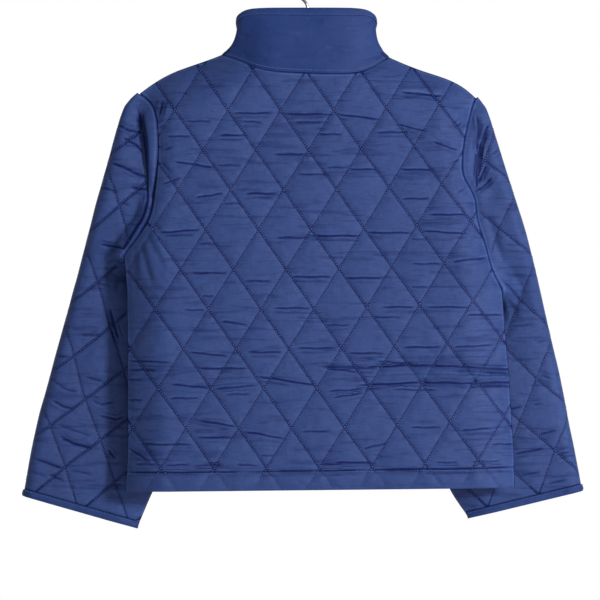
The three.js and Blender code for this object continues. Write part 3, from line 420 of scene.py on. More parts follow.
def back_pattern(x, down):
    """Where a place of the back lies in its quilting, which drifts right and rises at its right end."""
    along = down + BACK_QUILT["rise"] * np.maximum(0, x - BACK_QUILT["rise_from"]) ** 2 - BACK_QUILT["down"]
    return along, x - BACK_QUILT["x"] - BACK_QUILT["drift"] * along


def back_place(along, across):
    """The place of the back for a point of its quilting, the other way round."""
    x = BACK_QUILT["x"] + across + BACK_QUILT["drift"] * along
    rise = BACK_QUILT["rise"] * np.maximum(0, x - BACK_QUILT["rise_from"]) ** 2
    return x, BACK_QUILT["down"] + along - rise


# Where down the zip two lines of the fronts' quilting would cross.
FRONT_CROSSING = 147.0


def front_pattern(x, down):
    """The fronts' quilting is even about the zip."""
    return down - FRONT_CROSSING, x


def front_place(along, across):
    """The place of the front for a point of its quilting."""
    return across, along + FRONT_CROSSING


def hem_down(x):
    """The hem's edge, a straight line from its left end to its right one."""
    return mix(HEM_LEFT, HEM_RIGHT, (x - SIDE_LEFT[-1]) / (SIDE_RIGHT[-1] - SIDE_LEFT[-1]))


# The padding grows in over this distance from an edge, and is pressed flat at the hem's line of sewing.
EDGE_SOFT, HEM_SOFT, HEM_PRESS = 4, 2.6, 0.75
# Creases fade over this distance from an edge.
CREASE_SOFT = 10
# A low swell of the panels: its height and its lengths across and down.
SWELL, SWELL_WIDE, SWELL_TALL = 0.7, 60, 42
# The turned hem is thicker: by how much, how far from its edge, and over what height.
HEM_THICK, HEM_MIDDLE, HEM_SPREAD = 1.0, 9, 8
# The outside keeps this far from the middle plane between back and front.
MIDDLE_GAP = 0.15


class Panel:
    """The back or the fronts: the cloth's inside is the body's half depth behind or before y = 0."""

    def __init__(self, facing, pattern, rows, gathered, drawn, neck, seed):
        self.facing, self.pattern, self.neck, self.seed = facing, pattern, neck, seed
        self.rows, self.gathers, self.strokes = rows, gathered, drawn

    def inside(self, down, x):
        """The inside of the cloth at places given as down and x."""
        return np.stack([x, self.facing * body_half(x, down), -down], axis=-1)

    def from_seam(self, x, down):
        """The distance from the nearest side, armhole, shoulder or neck seam."""
        left = x - np.interp(down, SIDE_DOWN, SIDE_LEFT)
        right = np.interp(down, SIDE_DOWN, SIDE_RIGHT) - x
        seam = np.minimum(np.minimum(left, right), down - self.neck(x))
        seam = np.minimum(seam, nearest(ARMHOLE_LINES["left"], x, down)[2])
        seam = np.minimum(seam, nearest(ARMHOLE_LINES["right"], x, down)[2])
        return np.minimum(seam, np.minimum(*below_shoulders(x, down)))

    def lift(self, x, down):
        """How far the outside stands over the inside: wall, padding, creases, hem and a low swell."""
        along, across = self.pattern(x, down)
        from_hem = hem_down(x) - down
        seam = self.from_seam(x, down)
        edge = np.minimum(seam, from_hem)
        near_edge = 1 - np.exp(-np.maximum(edge, 0) / EDGE_SOFT)
        hem_line = 1 - HEM_PRESS * np.exp(-((from_hem - HEM_DEEP) / HEM_SOFT) ** 2)
        soft = padding(along, across) * near_edge * hem_line
        folds = creases(self.rows, x, down)[0] * ease(edge / CREASE_SOFT + CREASE_START)
        folds += (gathers(self.gathers, x, down) + strokes(self.strokes, x, down)[0]) * near_edge
        swell = SWELL * ripple(x, down, SWELL_WIDE, SWELL_TALL, self.seed) * near_edge
        hem_edge = HEM_THICK * np.exp(-((from_hem - HEM_MIDDLE) / HEM_SPREAD) ** 2)
        return WALL + soft + folds + swell + hem_edge

    def outside(self, x, down):
        """Points and normals of the cloth's outside."""
        normal = normals_of(self.inside, down, x) * -self.facing
        normal = normal * np.sign(normal[..., 1:2] * self.facing)
        point = self.inside(down, x) + normal * self.lift(x, down)[..., None]
        point[..., 1] = self.facing * np.maximum(self.facing * point[..., 1], MIDDLE_GAP)
        return point, normal


def neck_back_down(x):
    """The back neck line."""
    return np.interp(x, NECK_BACK_LINE[:, 0], NECK_BACK_LINE[:, 1])


BACK = Panel(-1, back_pattern, BACK_CREASES + WAIST_PUCKERS + HEM_PUCKERS + HEM_LINE, BACK_GATHERS,
             BACK_STROKES, neck_back_down, 3)
FRONT = Panel(1, front_pattern, FRONT_CREASES, FRONT_GATHERS, FRONT_STROKES, neck_front_down, 8)
# The panels run this far out past the place where the body's hollow closes.
EDGE_PAST = 2.4
# A shoulder's edge is set in by this much more than a side's, because it slants.
SHOULDER_SLANT = 1.1


def panel_top(panel, x):
    """The top edge of a panel: the neck line between the neck points and the shoulder lines beyond."""
    inset = (EDGE_INSET - EDGE_PAST) * SHOULDER_SLANT
    top = panel.neck(np.clip(x, NECK_LEFT[0], NECK_RIGHT[0]))
    top = np.where(x < NECK_LEFT[0], shoulder_down(NECK_LEFT, TIP_LEFT, SWELL_LEFT, x) + inset, top)
    return np.where(x > NECK_RIGHT[0], shoulder_down(NECK_RIGHT, TIP_RIGHT, SWELL_RIGHT, x) + inset, top)


def panel_side(side, down):
    """The side edge of a panel: the armhole down to the underarm and the side seam below it."""
    line = ARMHOLE_LINES[side]
    sign = 1 if side == "left" else -1
    column = SIDE_LEFT if side == "left" else SIDE_RIGHT
    seam = np.interp(down, SIDE_DOWN, column) + sign * (EDGE_INSET - EDGE_PAST)
    return np.where(down < line[-1, 1], np.interp(down, line[:, 1], line[:, 0]), seam)


def new_object(name, points, faces):
    """An object from points in millimetres and faces, at the origin."""
    mesh = bpy.data.meshes.new(name)
    mesh.from_pydata((np.asarray(points) * MM).tolist(), [], faces)
    mesh.validate()
    obj = bpy.data.objects.new(name, mesh)
    bpy.context.scene.collection.objects.link(obj)
    return obj


def grid_faces(rows, columns, flip):
    """The quads of a grid of (rows + 1) by (columns + 1) points."""
    i, j = np.meshgrid(np.arange(rows), np.arange(columns), indexing="ij")
    a = (i * (columns + 1) + j).ravel()
    quads = np.stack([a, a + 1, a + columns + 2, a + columns + 1], axis=1)
    return (quads[:, ::-1] if flip else quads).tolist()


# Folds of the sleeves' hidden sides, in the sleeve's own frame: across from, across to, along from,
# along to, depth, width.
SLEEVE_CREASES = {
    "left": [
        (54, 100, -120, -116, 1.1, 2.6), (60, 110, -60, -64, 1.1, 2.6), (70, 130, -6, -2, 1.0, 2.6),
        (54, 96, 40, 44, 1.0, 2.4), (80, 140, 72, 70, 1.0, 2.4),
    ],
    "right": [
        (46, 90, -40, -44, 1.0, 2.4), (50, 104, 22, 26, 1.1, 2.6), (60, 120, 84, 80, 1.1, 2.6),
        (48, 100, 140, 144, 1.0, 2.4),
    ],
}
# Folds beside the armholes: along from and to, distance from the armhole at both ends, depth, width. A
# depth below 0 is a roll of cloth that stands up.
CAP_FOLDS = {
    "left": [(-300, -130, 7, 6, -2.6, 4.5)],
    "right": [(-210, -90, 6, 6, -1.4, 4.0), (-100, -40, 11, 13, 1.8, 4.0)],
}
# Folds of the sleeves, read off the garment: their points, depth, width. The first two of the left sleeve
# part the smooth roll beside the armhole from the rest.
SLEEVE_STROKES = {
    "left": [
        ([(-167, 150), (-164, 166), (-161, 186), (-158, 206), (-158, 226), (-157, 239)], 2.7, 3.6),
        ([(-157, 236), (-160, 249), (-164, 258), (-174, 272), (-182, 285)], 3.2, 3.4),
        ([(-188, 161), (-179, 167), (-165, 169)], 1.4, 2.2),
        ([(-184, 174), (-172, 181), (-163, 189)], 1.6, 2.4),
        ([(-195, 199), (-182, 204), (-169, 211), (-160, 213)], 1.6, 2.4),
        ([(-177, 224), (-158, 226)], 1.3, 2.2),
        ([(-204, 224), (-189, 228)], 1.1, 2.0), ([(-186, 239), (-177, 241)], 0.9, 1.8),
        ([(-206, 279), (-194, 282), (-180, 286)], 1.6, 2.4), ([(-222, 289), (-217, 295)], 0.8, 1.8),
        ([(-198, 345), (-194, 360), (-189, 376)], 1.8, 3.0), ([(-228, 371), (-207, 372)], 0.9, 2.0),
        ([(-250, 393), (-238, 393)], 1.1, 2.0), ([(-223, 413), (-205, 418)], 1.1, 2.2),
        ([(-255, 416), (-242, 426), (-230, 428)], 0.9, 2.4),
        ([(-256, 436), (-245, 443), (-235, 446)], 1.4, 2.2),
        ([(-217, 436), (-207, 441), (-192, 438)], 0.9, 2.2),
        ([(-210, 452), (-192, 456), (-182, 453)], 1.2, 2.4),
        ([(-250, 461), (-217, 473)], 0.8, 2.0), ([(-248, 473), (-235, 480), (-217, 485)], 1.6, 2.4),
        ([(-272, 496), (-260, 500), (-246, 505)], 1.5, 2.4), ([(-260, 511), (-245, 517)], 1.1, 2.2),
        ([(-277, 508), (-262, 513)], 0.8, 2.0), ([(-238, 507), (-215, 511)], 0.8, 2.0),
        ([(-200, 486), (-192, 496)], 1.8, 3.0), ([(-197, 521), (-183, 522)], 0.9, 2.0),
        ([(-214, 318), (-196, 322)], 0.8, 2.0),
    ],
    "right": [
        ([(170, 152), (171, 166), (169, 187)], 2.2, 2.0),
        ([(181, 162), (173, 182), (170, 201), (168, 224)], 2.4, 2.2),
        ([(167, 228), (176, 223), (185, 214)], 2.1, 2.4), ([(171, 219), (180, 201)], 1.5, 1.8),
        ([(184, 192), (190, 186)], 1.0, 2.0), ([(205, 363), (228, 360)], 0.9, 2.2),
        ([(222, 312), (236, 308)], 0.7, 2.0), ([(230, 379), (241, 376)], 0.8, 2.0),
        ([(235, 411), (246, 415)], 0.9, 2.0), ([(200, 446), (217, 443)], 1.2, 2.2),
        ([(225, 441), (238, 440)], 0.9, 2.0), ([(233, 471), (250, 467)], 1.5, 2.2),
        ([(208, 491), (222, 488), (238, 485)], 1.6, 2.4), ([(252, 491), (264, 488)], 1.0, 2.0),
        ([(214, 512), (236, 508)], 0.8, 2.0), ([(178, 462), (194, 460)], 0.8, 2.0),
        ([(242, 520), (262, 516)], 0.9, 2.0),
    ],
}
# Where along each sleeve the quilting is drawn off its even places, and how far along and across.
QUILT_DRIFT = {
    "left": ([-200, -122, -43, -3, 67], [-4, -5, -3, -3, 6], [7, 6, 4, 0, -1]),
    "right": ([-149, -80, -6, 77, 151], [-10, 0, 6, 3, 8], [6, 8, 3, 6, 5]),
}
# How far the smooth roll reaches from the armhole at the shoulder and lower down, where it narrows and
# over what height, and over what distance the quilting comes in beside it.
ROLL_WIDE, ROLL_LOW, ROLL_FROM, ROLL_OVER, ROLL_EDGE = 13.0, 3.0, 200.0, 40, 4
# The folds die out this near to the sleeve's outer edge, which is a smooth line on the garment.
OUTER_CALM = 10.0
# A sleeve's padding and creases grow in over these distances from its seams.
SLEEVE_SOFT, SLEEVE_CREASE_SOFT, STROKE_SOFT, STROKE_FROM = 7, 10, 9, 1
# How much of the folds and of the padding dies out at the outer edge.
CALM_FOLDS, CALM_PADDING = 0.75, 0.85
# The smooth roll's padding, as a share of the quilting's height.
ROLL_PADDING = 0.7
# The body's half depth is at least this where a sleeve joins it.
LEAST_HALF = 0.2
# A low swell of the sleeves: its height, its lengths across and along, and a seed for each sleeve.
SLEEVE_SWELL, SLEEVE_SWELL_OVER = 0.8, (56, 44)
SLEEVE_SEEDS = {"left": 21, "right": 34}
# Gathers at an underarm fade in over one length and out over another, and folds of the cap over a third
# of theirs.
UNDERARM_IN, UNDERARM_OUT, CAP_FADE = 8, 14, 3
# The sleeves swing forward from this far above the underarm, over this height.
FORWARD_ABOVE, FORWARD_OVER = 62, 90
# The radius of the fold grows from the shoulder's tip over this length.
RADIUS_OVER = 60
# Gathers that fan out from each underarm: turn in degrees from straight down, length, depth, width.
UNDERARM_FOLDS = {
    "left": [(-64, 30, 1.6, 2.4), (-38, 38, 2.0, 2.6), (-14, 42, 2.0, 2.8), (12, 46, 2.2, 2.8)],
    "right": [(58, 28, 1.4, 2.4), (34, 36, 1.6, 2.6), (8, 40, 1.6, 2.6)],
}


class SleeveForm:
    """A sleeve as one sheet folded round its outer edge, worked out on its own along and across."""

    def __init__(self, sleeve):
        self.sleeve = sleeve
        self.armhole = ARMHOLE_LINES[sleeve.side]
        self.seam = smooth_line(sleeve.inner, 40)
        self.edge = np.stack(self.frame_of(*smooth_line(sleeve.outer, 40).T), axis=1)
        self.seam_frame = np.stack(self.frame_of(*self.seam.T), axis=1)
        self.armhole_frame = np.stack(self.frame_of(*self.armhole.T), axis=1)
        self.tip = self.edge[0, 0]
        self.underarm = self.armhole_frame[-1, 0]

    def frame_of(self, x, down):
        """Along and across of a place."""
        s = self.sleeve
        dx, dd = (x - s.centre[0]) * s.out, down - s.centre[1]
        return dx * math.sin(s.tilt) + dd * math.cos(s.tilt), dx * math.cos(s.tilt) - dd * math.sin(s.tilt)

    def place_of(self, along, across):
        """The place of an along and an across."""
        s = self.sleeve
        x = s.centre[0] + s.out * (along * math.sin(s.tilt) + across * math.cos(s.tilt))
        return x, s.centre[1] + along * math.cos(s.tilt) - across * math.sin(s.tilt)

    def drift(self, along):
        """How far the quilting is drawn off its even places by the folds, as along and across."""
        at, add_along, add_across = QUILT_DRIFT[self.sleeve.side]
        return np.interp(along, at, add_along), np.interp(along, at, add_across)

    def pattern(self, along, across):
        """The place in the quilting of an along and an across."""
        add_along, add_across = self.drift(along)
        return along + add_along, across + add_across

    def unpattern(self, along, across):
        """The along and across of a place in the quilting, found in a few steps."""
        at = along
        for _ in range(6):
            at = along - self.drift(at)[0]
        return at, across - self.drift(at)[1]

    def fold(self, along):
        """The across of the folded edge."""
        return np.interp(along, self.edge[:, 0], self.edge[:, 1])

    def radius(self, along):
        """The radius of the fold, small at the shoulder's tip."""
        return mix(SLEEVE_TIP_RADIUS, SLEEVE_RADIUS, ease((along - self.tip) / RADIUS_OVER))

    def inner(self, along):
        """The across of the sheet's two long edges: the armhole, and the seam below the underarm."""
        armhole = np.interp(along, self.armhole_frame[:, 0], self.armhole_frame[:, 1])
        seam = np.interp(along, self.seam_frame[:, 0], self.seam_frame[:, 1])
        return np.where(along < self.underarm, armhole, seam)

    def unrolled(self, along):
        """Half the sheet's width: the fold's quarter circle and then the flat part up to its edge."""
        radius = self.radius(along)
        deep = np.maximum(self.fold(along) - self.inner(along), 0)
        curled = radius * np.arccos(np.clip(1 - deep / radius, -1, 1))
        return np.where(deep < radius, curled, deep + radius * (math.pi / 2 - 1))

    def inside(self, along, across):
        """The inside of the sheet. Beside the armhole it takes the body's depth, and further on it lies
        before the body, with a half round fold at its outer edge and its two faces meeting at the seam."""
        fold = self.fold(along)
        from_fold = across - fold
        radius = self.radius(along)
        angle = np.minimum(np.abs(from_fold) / radius, math.pi / 2)
        into = radius * (1 - np.cos(angle)) + np.maximum(0, np.abs(from_fold) - radius * math.pi / 2)
        x, down = self.place_of(along, fold - into)
        closing = rounding(nearest(self.seam, x, down)[2] / SEAM_ROUND)
        near_x, near_down, distance = nearest(self.armhole, x, down)
        away = ease(distance / SLEEVE_BLEND)
        body_side = np.maximum(body_half(near_x, near_down), LEAST_HALF)
        half = radius * closing * np.sin(angle)
        forward = SLEEVE_FORWARD * ease((down - self.sleeve.inner[0][1] + FORWARD_ABOVE) / FORWARD_OVER)
        sign = np.where(from_fold < 0, -1, 1)
        to_fold = nearest(self.sleeve.fold_line, x, down)[2] / self.sleeve.fold_wide
        pressed = np.where(from_fold < 0, self.sleeve.fold_deep * np.exp(-to_fold ** 2) * np.sin(angle), 0)
        y = mix(sign * body_side * np.sin(angle), forward + sign * half, away) + pressed
        return np.stack([x, y, -down], axis=-1)

    def from_seam(self, along, across):
        """The place, its distance from the nearer of armhole and seam, and that from the armhole."""
        fold, radius = self.fold(along), self.radius(along)
        from_fold = np.abs(across - fold)
        into = np.where(from_fold < radius * math.pi / 2, radius * (1 - np.cos(from_fold / radius)),
                        from_fold - radius * (math.pi / 2 - 1))
        x, down = self.place_of(along, fold - into)
        armhole = nearest(self.armhole, x, down)[2]
        return x, down, np.minimum(armhole, nearest(self.seam, x, down)[2]), armhole

    def quilted(self, down, armhole):
        """How much of the quilting shows: none on the smooth roll beside the armhole."""
        reach = mix(ROLL_WIDE, ROLL_LOW, ease((down - ROLL_FROM) / ROLL_OVER))
        return ease((armhole - reach) / ROLL_EDGE)

    def lines(self, along, across):
        """The off and deep of the sleeve's folds."""
        x, down, _, _ = self.from_seam(along, across)
        side = self.sleeve.side
        hidden = creases(SLEEVE_CREASES[side], across, along)
        return nearer_of(hidden, strokes(SLEEVE_STROKES[side], x, down))

    def lift(self, along, across):
        """How far the outside stands over the inside: wall, padding, creases and the cap's folds."""
        side = self.sleeve.side
        x, down, seam, armhole = self.from_seam(along, across)
        cuff = self.sleeve.end - CUFF_BINDING - along
        edge = np.minimum(seam, np.abs(cuff))
        at_fold = np.exp(-((across - self.fold(along)) / OUTER_CALM) ** 2)
        soft = mix(ROLL_PADDING * PUFF, padding(*self.pattern(along, across)), self.quilted(down, armhole))
        soft *= (1 - np.exp(-edge / SLEEVE_SOFT)) * (1 - CALM_PADDING * at_fold)
        swell = SLEEVE_SWELL * ripple(across, along, *SLEEVE_SWELL_OVER, SLEEVE_SEEDS[side])
        folds = (creases(SLEEVE_CREASES[side], across, along)[0] + swell) * ease(edge / SLEEVE_CREASE_SOFT)
        for start, end, near, far, depth, width in CAP_FOLDS[side]:
            t = (along - start) / (end - start)
            fade = ease(t * CAP_FADE) * ease((1 - t) * CAP_FADE)
            folds -= depth * fade * np.exp(-((armhole - mix(near, far, t)) / width) ** 2)
        folds += strokes(SLEEVE_STROKES[side], x, down)[0] * ease((seam - STROKE_FROM) / STROKE_SOFT)
        folds *= 1 - CALM_FOLDS * at_fold
        underarm = self.armhole[-1]
        for turn, length, depth, width in UNDERARM_FOLDS[side]:
            turned = math.radians(turn)
            run = (x - underarm[0]) * math.sin(turned) + (down - underarm[1]) * math.cos(turned)
            off = (x - underarm[0]) * math.cos(turned) - (down - underarm[1]) * math.sin(turned)
            fade = ease(run / UNDERARM_IN) * ease((length - run) / UNDERARM_OUT)
            folds -= depth * fade * np.exp(-(off / width) ** 2)
        return WALL + soft + folds

    def outside(self, along, across, lift=None):
        """Points and normals of the outside. The two faces share one normal along the seam."""
        normal = normals_of(self.inside, along, across) * self.sleeve.out
        height = self.lift(along, across) if lift is None else lift
        return self.inside(along, across) + normal * np.asarray(height)[..., None], normal


def sleeve_grid(form, along_from, along_to, rows, columns):
    """Along and across of a grid that fits a sleeve, wider spaced on the flat parts than at the fold."""
    along = np.linspace(along_from, along_to, rows + 1)[:, None]
    share = np.linspace(-1, 1, columns + 1)[None, :]
    across = form.fold(along) + share * form.unrolled(along)
    return np.broadcast_to(along, across.shape).copy(), across


def close_seam(points, form, along):
    """Below the underarm the first and last columns are one seam, so both take their mean place."""
    joined = along[:, 0] > form.underarm
    middle = (points[:, 0] + points[:, -1]) / 2
    points[joined, 0] = middle[joined]
    points[joined, -1] = middle[joined]
    return points


def soft_power(value, power):
    """A power that keeps the sign."""
    return np.sign(value) * np.abs(value) ** power


# Wrinkles of the collar, as x from, x to, down from, down to, depth, width.
COLLAR_WRINKLES = [
    (-44, -8, 69, 77, 0.9, 2.6), (0, 16, 55, 57, 0.6, 2.2), (-68, -58, 70, 73, 0.8, 2.4),
    (20, 52, 84, 88, 0.8, 2.6), (-30, 10, 92, 90, 0.7, 2.4), (40, 66, 66, 62, 0.7, 2.4),
    (-64, -40, 92, 97, 0.9, 2.4), (52, 76, 96, 90, 0.8, 2.4),
]


# The collar's side flares out near its base: as a power of along, and by a share. Its low swell has a
# height and lengths, and it and the wrinkles grow in near the top.
FLARE_POWER, FLARE_SHARE = 4, 0.8
COLLAR_SWELL, COLLAR_SWELL_WIDE, COLLAR_SWELL_TALL, COLLAR_SEED = 0.5, 50, 40, 5
COLLAR_IN, COLLAR_FRONT_SHARE = 8, 0.8


def collar_inside(along, across):
    """The collar's ring: along is 0 at its top and 1 at the neck seam, across is an angle from the middle
    of the back. Top and base are squarish ovals, and the side flares out near the base."""
    c = COLLAR
    sine, cosine = np.sin(across), np.cos(across)
    top_x = c["top_centre"] + c["top_half"] * soft_power(sine, c["squareness"])
    top_y = -c["top_depth"] * soft_power(cosine, c["squareness"])
    top_down = mix(c["top_back"], c["top_front"], ((1 - cosine) / 2) ** c["top_fall"])
    base_x = c["base_centre"] + c["base_half"] * soft_power(sine, c["squareness"])
    base_down = np.where(cosine > 0, neck_back_down(base_x), neck_front_down(base_x))
    base_y = body_half(base_x, base_down) * np.where(cosine > 0, -1, 1)
    flare = mix(along, np.maximum(along, 0) ** FLARE_POWER, FLARE_SHARE)
    x, y, down = mix(top_x, base_x, flare), mix(top_y, base_y, along), mix(top_down, base_down, along)
    return np.stack([x, y, -down], axis=-1)


def collar_lift(along, across, thick):
    """The collar's thickness with its wrinkles and a slight roll at the seam."""
    inside = collar_inside(along, across)
    x, down = inside[..., 0], -inside[..., 2]
    back = np.cos(across) > 0
    folds = creases(COLLAR_WRINKLES, x, down)[0] * np.where(back, 1, COLLAR_FRONT_SHARE)
    swell = COLLAR_SWELL * ripple(x, down, COLLAR_SWELL_WIDE, COLLAR_SWELL_TALL, COLLAR_SEED)
    return thick + (folds + swell) * ease(along * COLLAR_IN)


def collar_outside(along, across, thick):
    """Points and normals of the collar's outside."""
    step_along, step_across = 0.004, 0.004
    one = collar_inside(along + step_along, across) - collar_inside(along - step_along, across)
    two = collar_inside(along, across + step_across) - collar_inside(along, across - step_across)
    normal = np.cross(one, two)
    normal /= np.maximum(np.linalg.norm(normal, axis=-1, keepdims=True), 1e-9)
    return collar_inside(along, across) + normal * collar_lift(along, across, thick)[..., None], normal


def sheet_object(name, outer, inner, step):
    """A closed sheet of cloth from a fine grid of outside points and the inside points of every step-th row
    and column of it. The two are joined round the edge by one face for each step."""
    rows, columns = outer.shape[0] - 1, outer.shape[1] - 1
    few_rows, few_columns = rows // step, columns // step
    base = (rows + 1) * (columns + 1)

    def fine(i, j):
        return i * (columns + 1) + j

    def coarse(i, j):
        return base + i * (few_columns + 1) + j

    faces = grid_faces(rows, columns, False)
    faces += [[base + index for index in face] for face in grid_faces(few_rows, few_columns, True)]
    outside_count = len(faces)
    for i in (0, few_rows):
        for j in range(few_columns):
            edge = [fine(i * step, (j + 1) * step - k) for k in range(step + 1)]
            face = [coarse(i, j), coarse(i, j + 1)] + edge
            faces.append(face[::-1] if i else face)
    for j in (0, few_columns):
        for i in range(few_rows):
            edge = [fine((i + 1) * step - k, j * step) for k in range(step + 1)]
            face = [coarse(i, j), coarse(i + 1, j)] + edge
            faces.append(face if j else face[::-1])
    obj = new_object(name, np.concatenate([outer.reshape(-1, 3), inner.reshape(-1, 3)]), faces)
    smooth = np.zeros(len(obj.data.polygons), bool)
    smooth[:outside_count] = True
    obj.data.polygons.foreach_set("use_smooth", smooth)
    return obj


# The lining has one point for this many steps of the outside's grid.
STEP = 4
# The lining goes in where the outside's fold leaves less than this, fading over a distance from a seam.
LINING_CLEAR, LINING_FROM, LINING_OVER = 3.4, 3, 8
# The lining keeps this far from the middle plane.
LINING_GAP = 0.05


def add_pattern(obj, along, across, off, deep, seam, patch):
    """Puts on a mesh what its material draws sharp lines from: the place in the quilting, the distance to
    the nearest crease, that crease's depth, the distance to the nearest seam, and how much it is quilted.
    The lining's points have those of the outside."""
    for name, grid in {"quilt_along": along, "quilt_across": across, "crease_off": off, "crease_deep": deep,
                       "seam_off": seam, "quilted": patch}.items():
        values = np.concatenate([grid.ravel(), grid[::STEP, ::STEP].ravel()]).astype(np.float32)
        obj.data.attributes.new(name, "FLOAT", "POINT").data.foreach_set("value", values)


def under(inside, normal, lift, seam):
    """The lining's points: on the inside of the wall, or deeper where a fold of the outside goes in, but
    for the places beside a seam."""
    deeper = np.minimum(0, lift - LINING_CLEAR) * ease((seam - LINING_FROM) / LINING_OVER)
    return inside + normal * deeper[..., None]


def make_panel(name, panel, left, right, rows, columns):
    """One panel between two side edges, each a function of down."""
    share = np.linspace(0, 1, columns + 1)[None, :]
    t = np.linspace(0, 1, rows + 1)[:, None]
    top_x = mix(left(0), right(0), share)
    down = mix(panel_top(panel, top_x), hem_down(top_x), t)
    x = mix(left(down), right(down), share)
    outer, normal = panel.outside(x, down)
    inner = under(panel.inside(down, x), normal, panel.lift(x, down), panel.from_seam(x, down))
    inner = inner[::STEP, ::STEP]
    inner[..., 1] = panel.facing * np.maximum(panel.facing * inner[..., 1], LINING_GAP)
    obj = sheet_object(name, outer, inner, STEP)
    off, deep = nearer_of(creases(panel.rows, x, down), strokes(panel.strokes, x, down))
    along, across = panel.pattern(x, down)
    add_pattern(obj, along, across, off, deep, panel.from_seam(x, down), quilted_part(panel, x, down))
    return obj


def side_of(side):
    """The side edge of the body as a function of down."""
    return lambda down: panel_side(side, np.asarray(down, float))


def zip_edge(sign):
    """The edge of a front beside the zip as a function of down."""
    return lambda down: sign * ZIP_EDGE + 0 * np.asarray(down, float)


# A sleeve stops this far before its cuff's binding, and begins this far below the shoulder's tip.
SEAM_GAP, TIP_GAP = 0.3, 0.6


def make_sleeve(form, name, rows, columns):
    """One sleeve without its cuff binding."""
    end = form.sleeve.end - CUFF_BINDING - SEAM_GAP
    along, across = sleeve_grid(form, form.tip + TIP_GAP, end, rows, columns)
    outer, normal = form.outside(along, across)
    outer = close_seam(outer, form, along)
    seam = form.from_seam(along, across)[2]
    inner = under(form.inside(along, across), normal, form.lift(along, across), seam)[::STEP, ::STEP]
    obj = sheet_object(name, outer, inner, STEP)
    _, down, _, armhole = form.from_seam(along, across)
    off, deep = form.lines(along, across)
    in_pattern = form.pattern(along, across)
    add_pattern(obj, *in_pattern, off, deep, seam, form.quilted(down, armhole))
    return obj


# The cuff's binding: rows of its grid, how far it swells over its own thickness, and its uneven sewing.
CUFF_ROWS, CUFF_SWELL = 8, 0.8
CUFF_UNEVEN, CUFF_UNEVEN_WIDE, CUFF_UNEVEN_TALL, CUFF_SEED = 0.35, 9, 30, 61


def make_cuff(form, name, columns):
    """The binding round a cuff: a folded strip, a little thicker than the cloth. Its section is the root
    of half a sine wave."""
    sleeve = form.sleeve
    along, across = sleeve_grid(form, sleeve.end - CUFF_BINDING, sleeve.end, CUFF_ROWS, columns)
    t = np.linspace(0, 1, CUFF_ROWS + 1)[:, None]
    height = WALL + (BINDING - WALL + CUFF_SWELL) * np.sin(math.pi * t) ** 0.5 + 0 * across
    height += CUFF_UNEVEN * ripple(across, along, CUFF_UNEVEN_WIDE, CUFF_UNEVEN_TALL, CUFF_SEED)
    outer, _ = form.outside(along, across, height)
    outer = close_seam(outer, form, along)
    return sheet_object(name, outer, form.inside(along, across)[::STEP, ::STEP], STEP)


# The collar opens by this angle on each side of the zip. Its lines are measured in this many steps.
COLLAR_GAP, COLLAR_STEPS = 0.009, 6000
# The collar's grid: steps round, rows of the stand and of the band, and how far the band swells. The
# stand begins a little above the band's lower edge, and the steps are even at one height.
COLLAR_ROUND, STAND_ROWS, BAND_ROWS, BAND_SWELL, STAND_OVERLAP, EVEN_AT = 320, 48, 12, 0.9, 0.04, 0.6


def even_angles(along, steps):
    """Angles round the collar that are evenly far apart on the line at one height of it."""
    dense = np.linspace(-math.pi + COLLAR_GAP, math.pi - COLLAR_GAP, COLLAR_STEPS + 1)
    line = collar_inside(np.full_like(dense, along), dense)
    length = np.concatenate([[0], np.cumsum(np.linalg.norm(np.diff(line, axis=0), axis=1))])
    return np.interp(np.linspace(0, length[-1], steps + 1), length, dense)


def make_collar():
    """The standing collar and the band along its top edge."""
    angles = even_angles(EVEN_AT, COLLAR_ROUND)[None, :]
    start = COLLAR["band_end"] - STAND_OVERLAP
    along = np.linspace(start, 1.0, STAND_ROWS + 1)[:, None]
    grid_along, grid_across = np.broadcast_arrays(along, angles)
    outer, _ = collar_outside(grid_along, grid_across, WALL)
    stand = sheet_object("collar_cloth", outer, collar_inside(grid_along, grid_across)[::STEP, ::STEP], STEP)
    t = np.linspace(0, 1, BAND_ROWS + 1)[:, None]
    grid_along, grid_across = np.broadcast_arrays(t * COLLAR["band_end"], angles)
    outer, normal = collar_outside(grid_along, grid_across, WALL)
    outer = outer + normal * ((BINDING - WALL + BAND_SWELL) * (1 - (1 - 2 * t) ** 4) ** 0.5)[..., None]
    band = sheet_object("collar_band", outer, collar_inside(grid_along, grid_across)[::STEP, ::STEP], STEP)
    return stand, band


# A stitch's rings: how far along it, the ring's size, and its height, as shares of the thread's radius.
STITCH_RINGS = ((0, 0.5, -0.5), (0.3, 1, 0.5), (0.7, 1, 0.5), (1, 0.5, -0.5))
STITCH_SIDES = 5


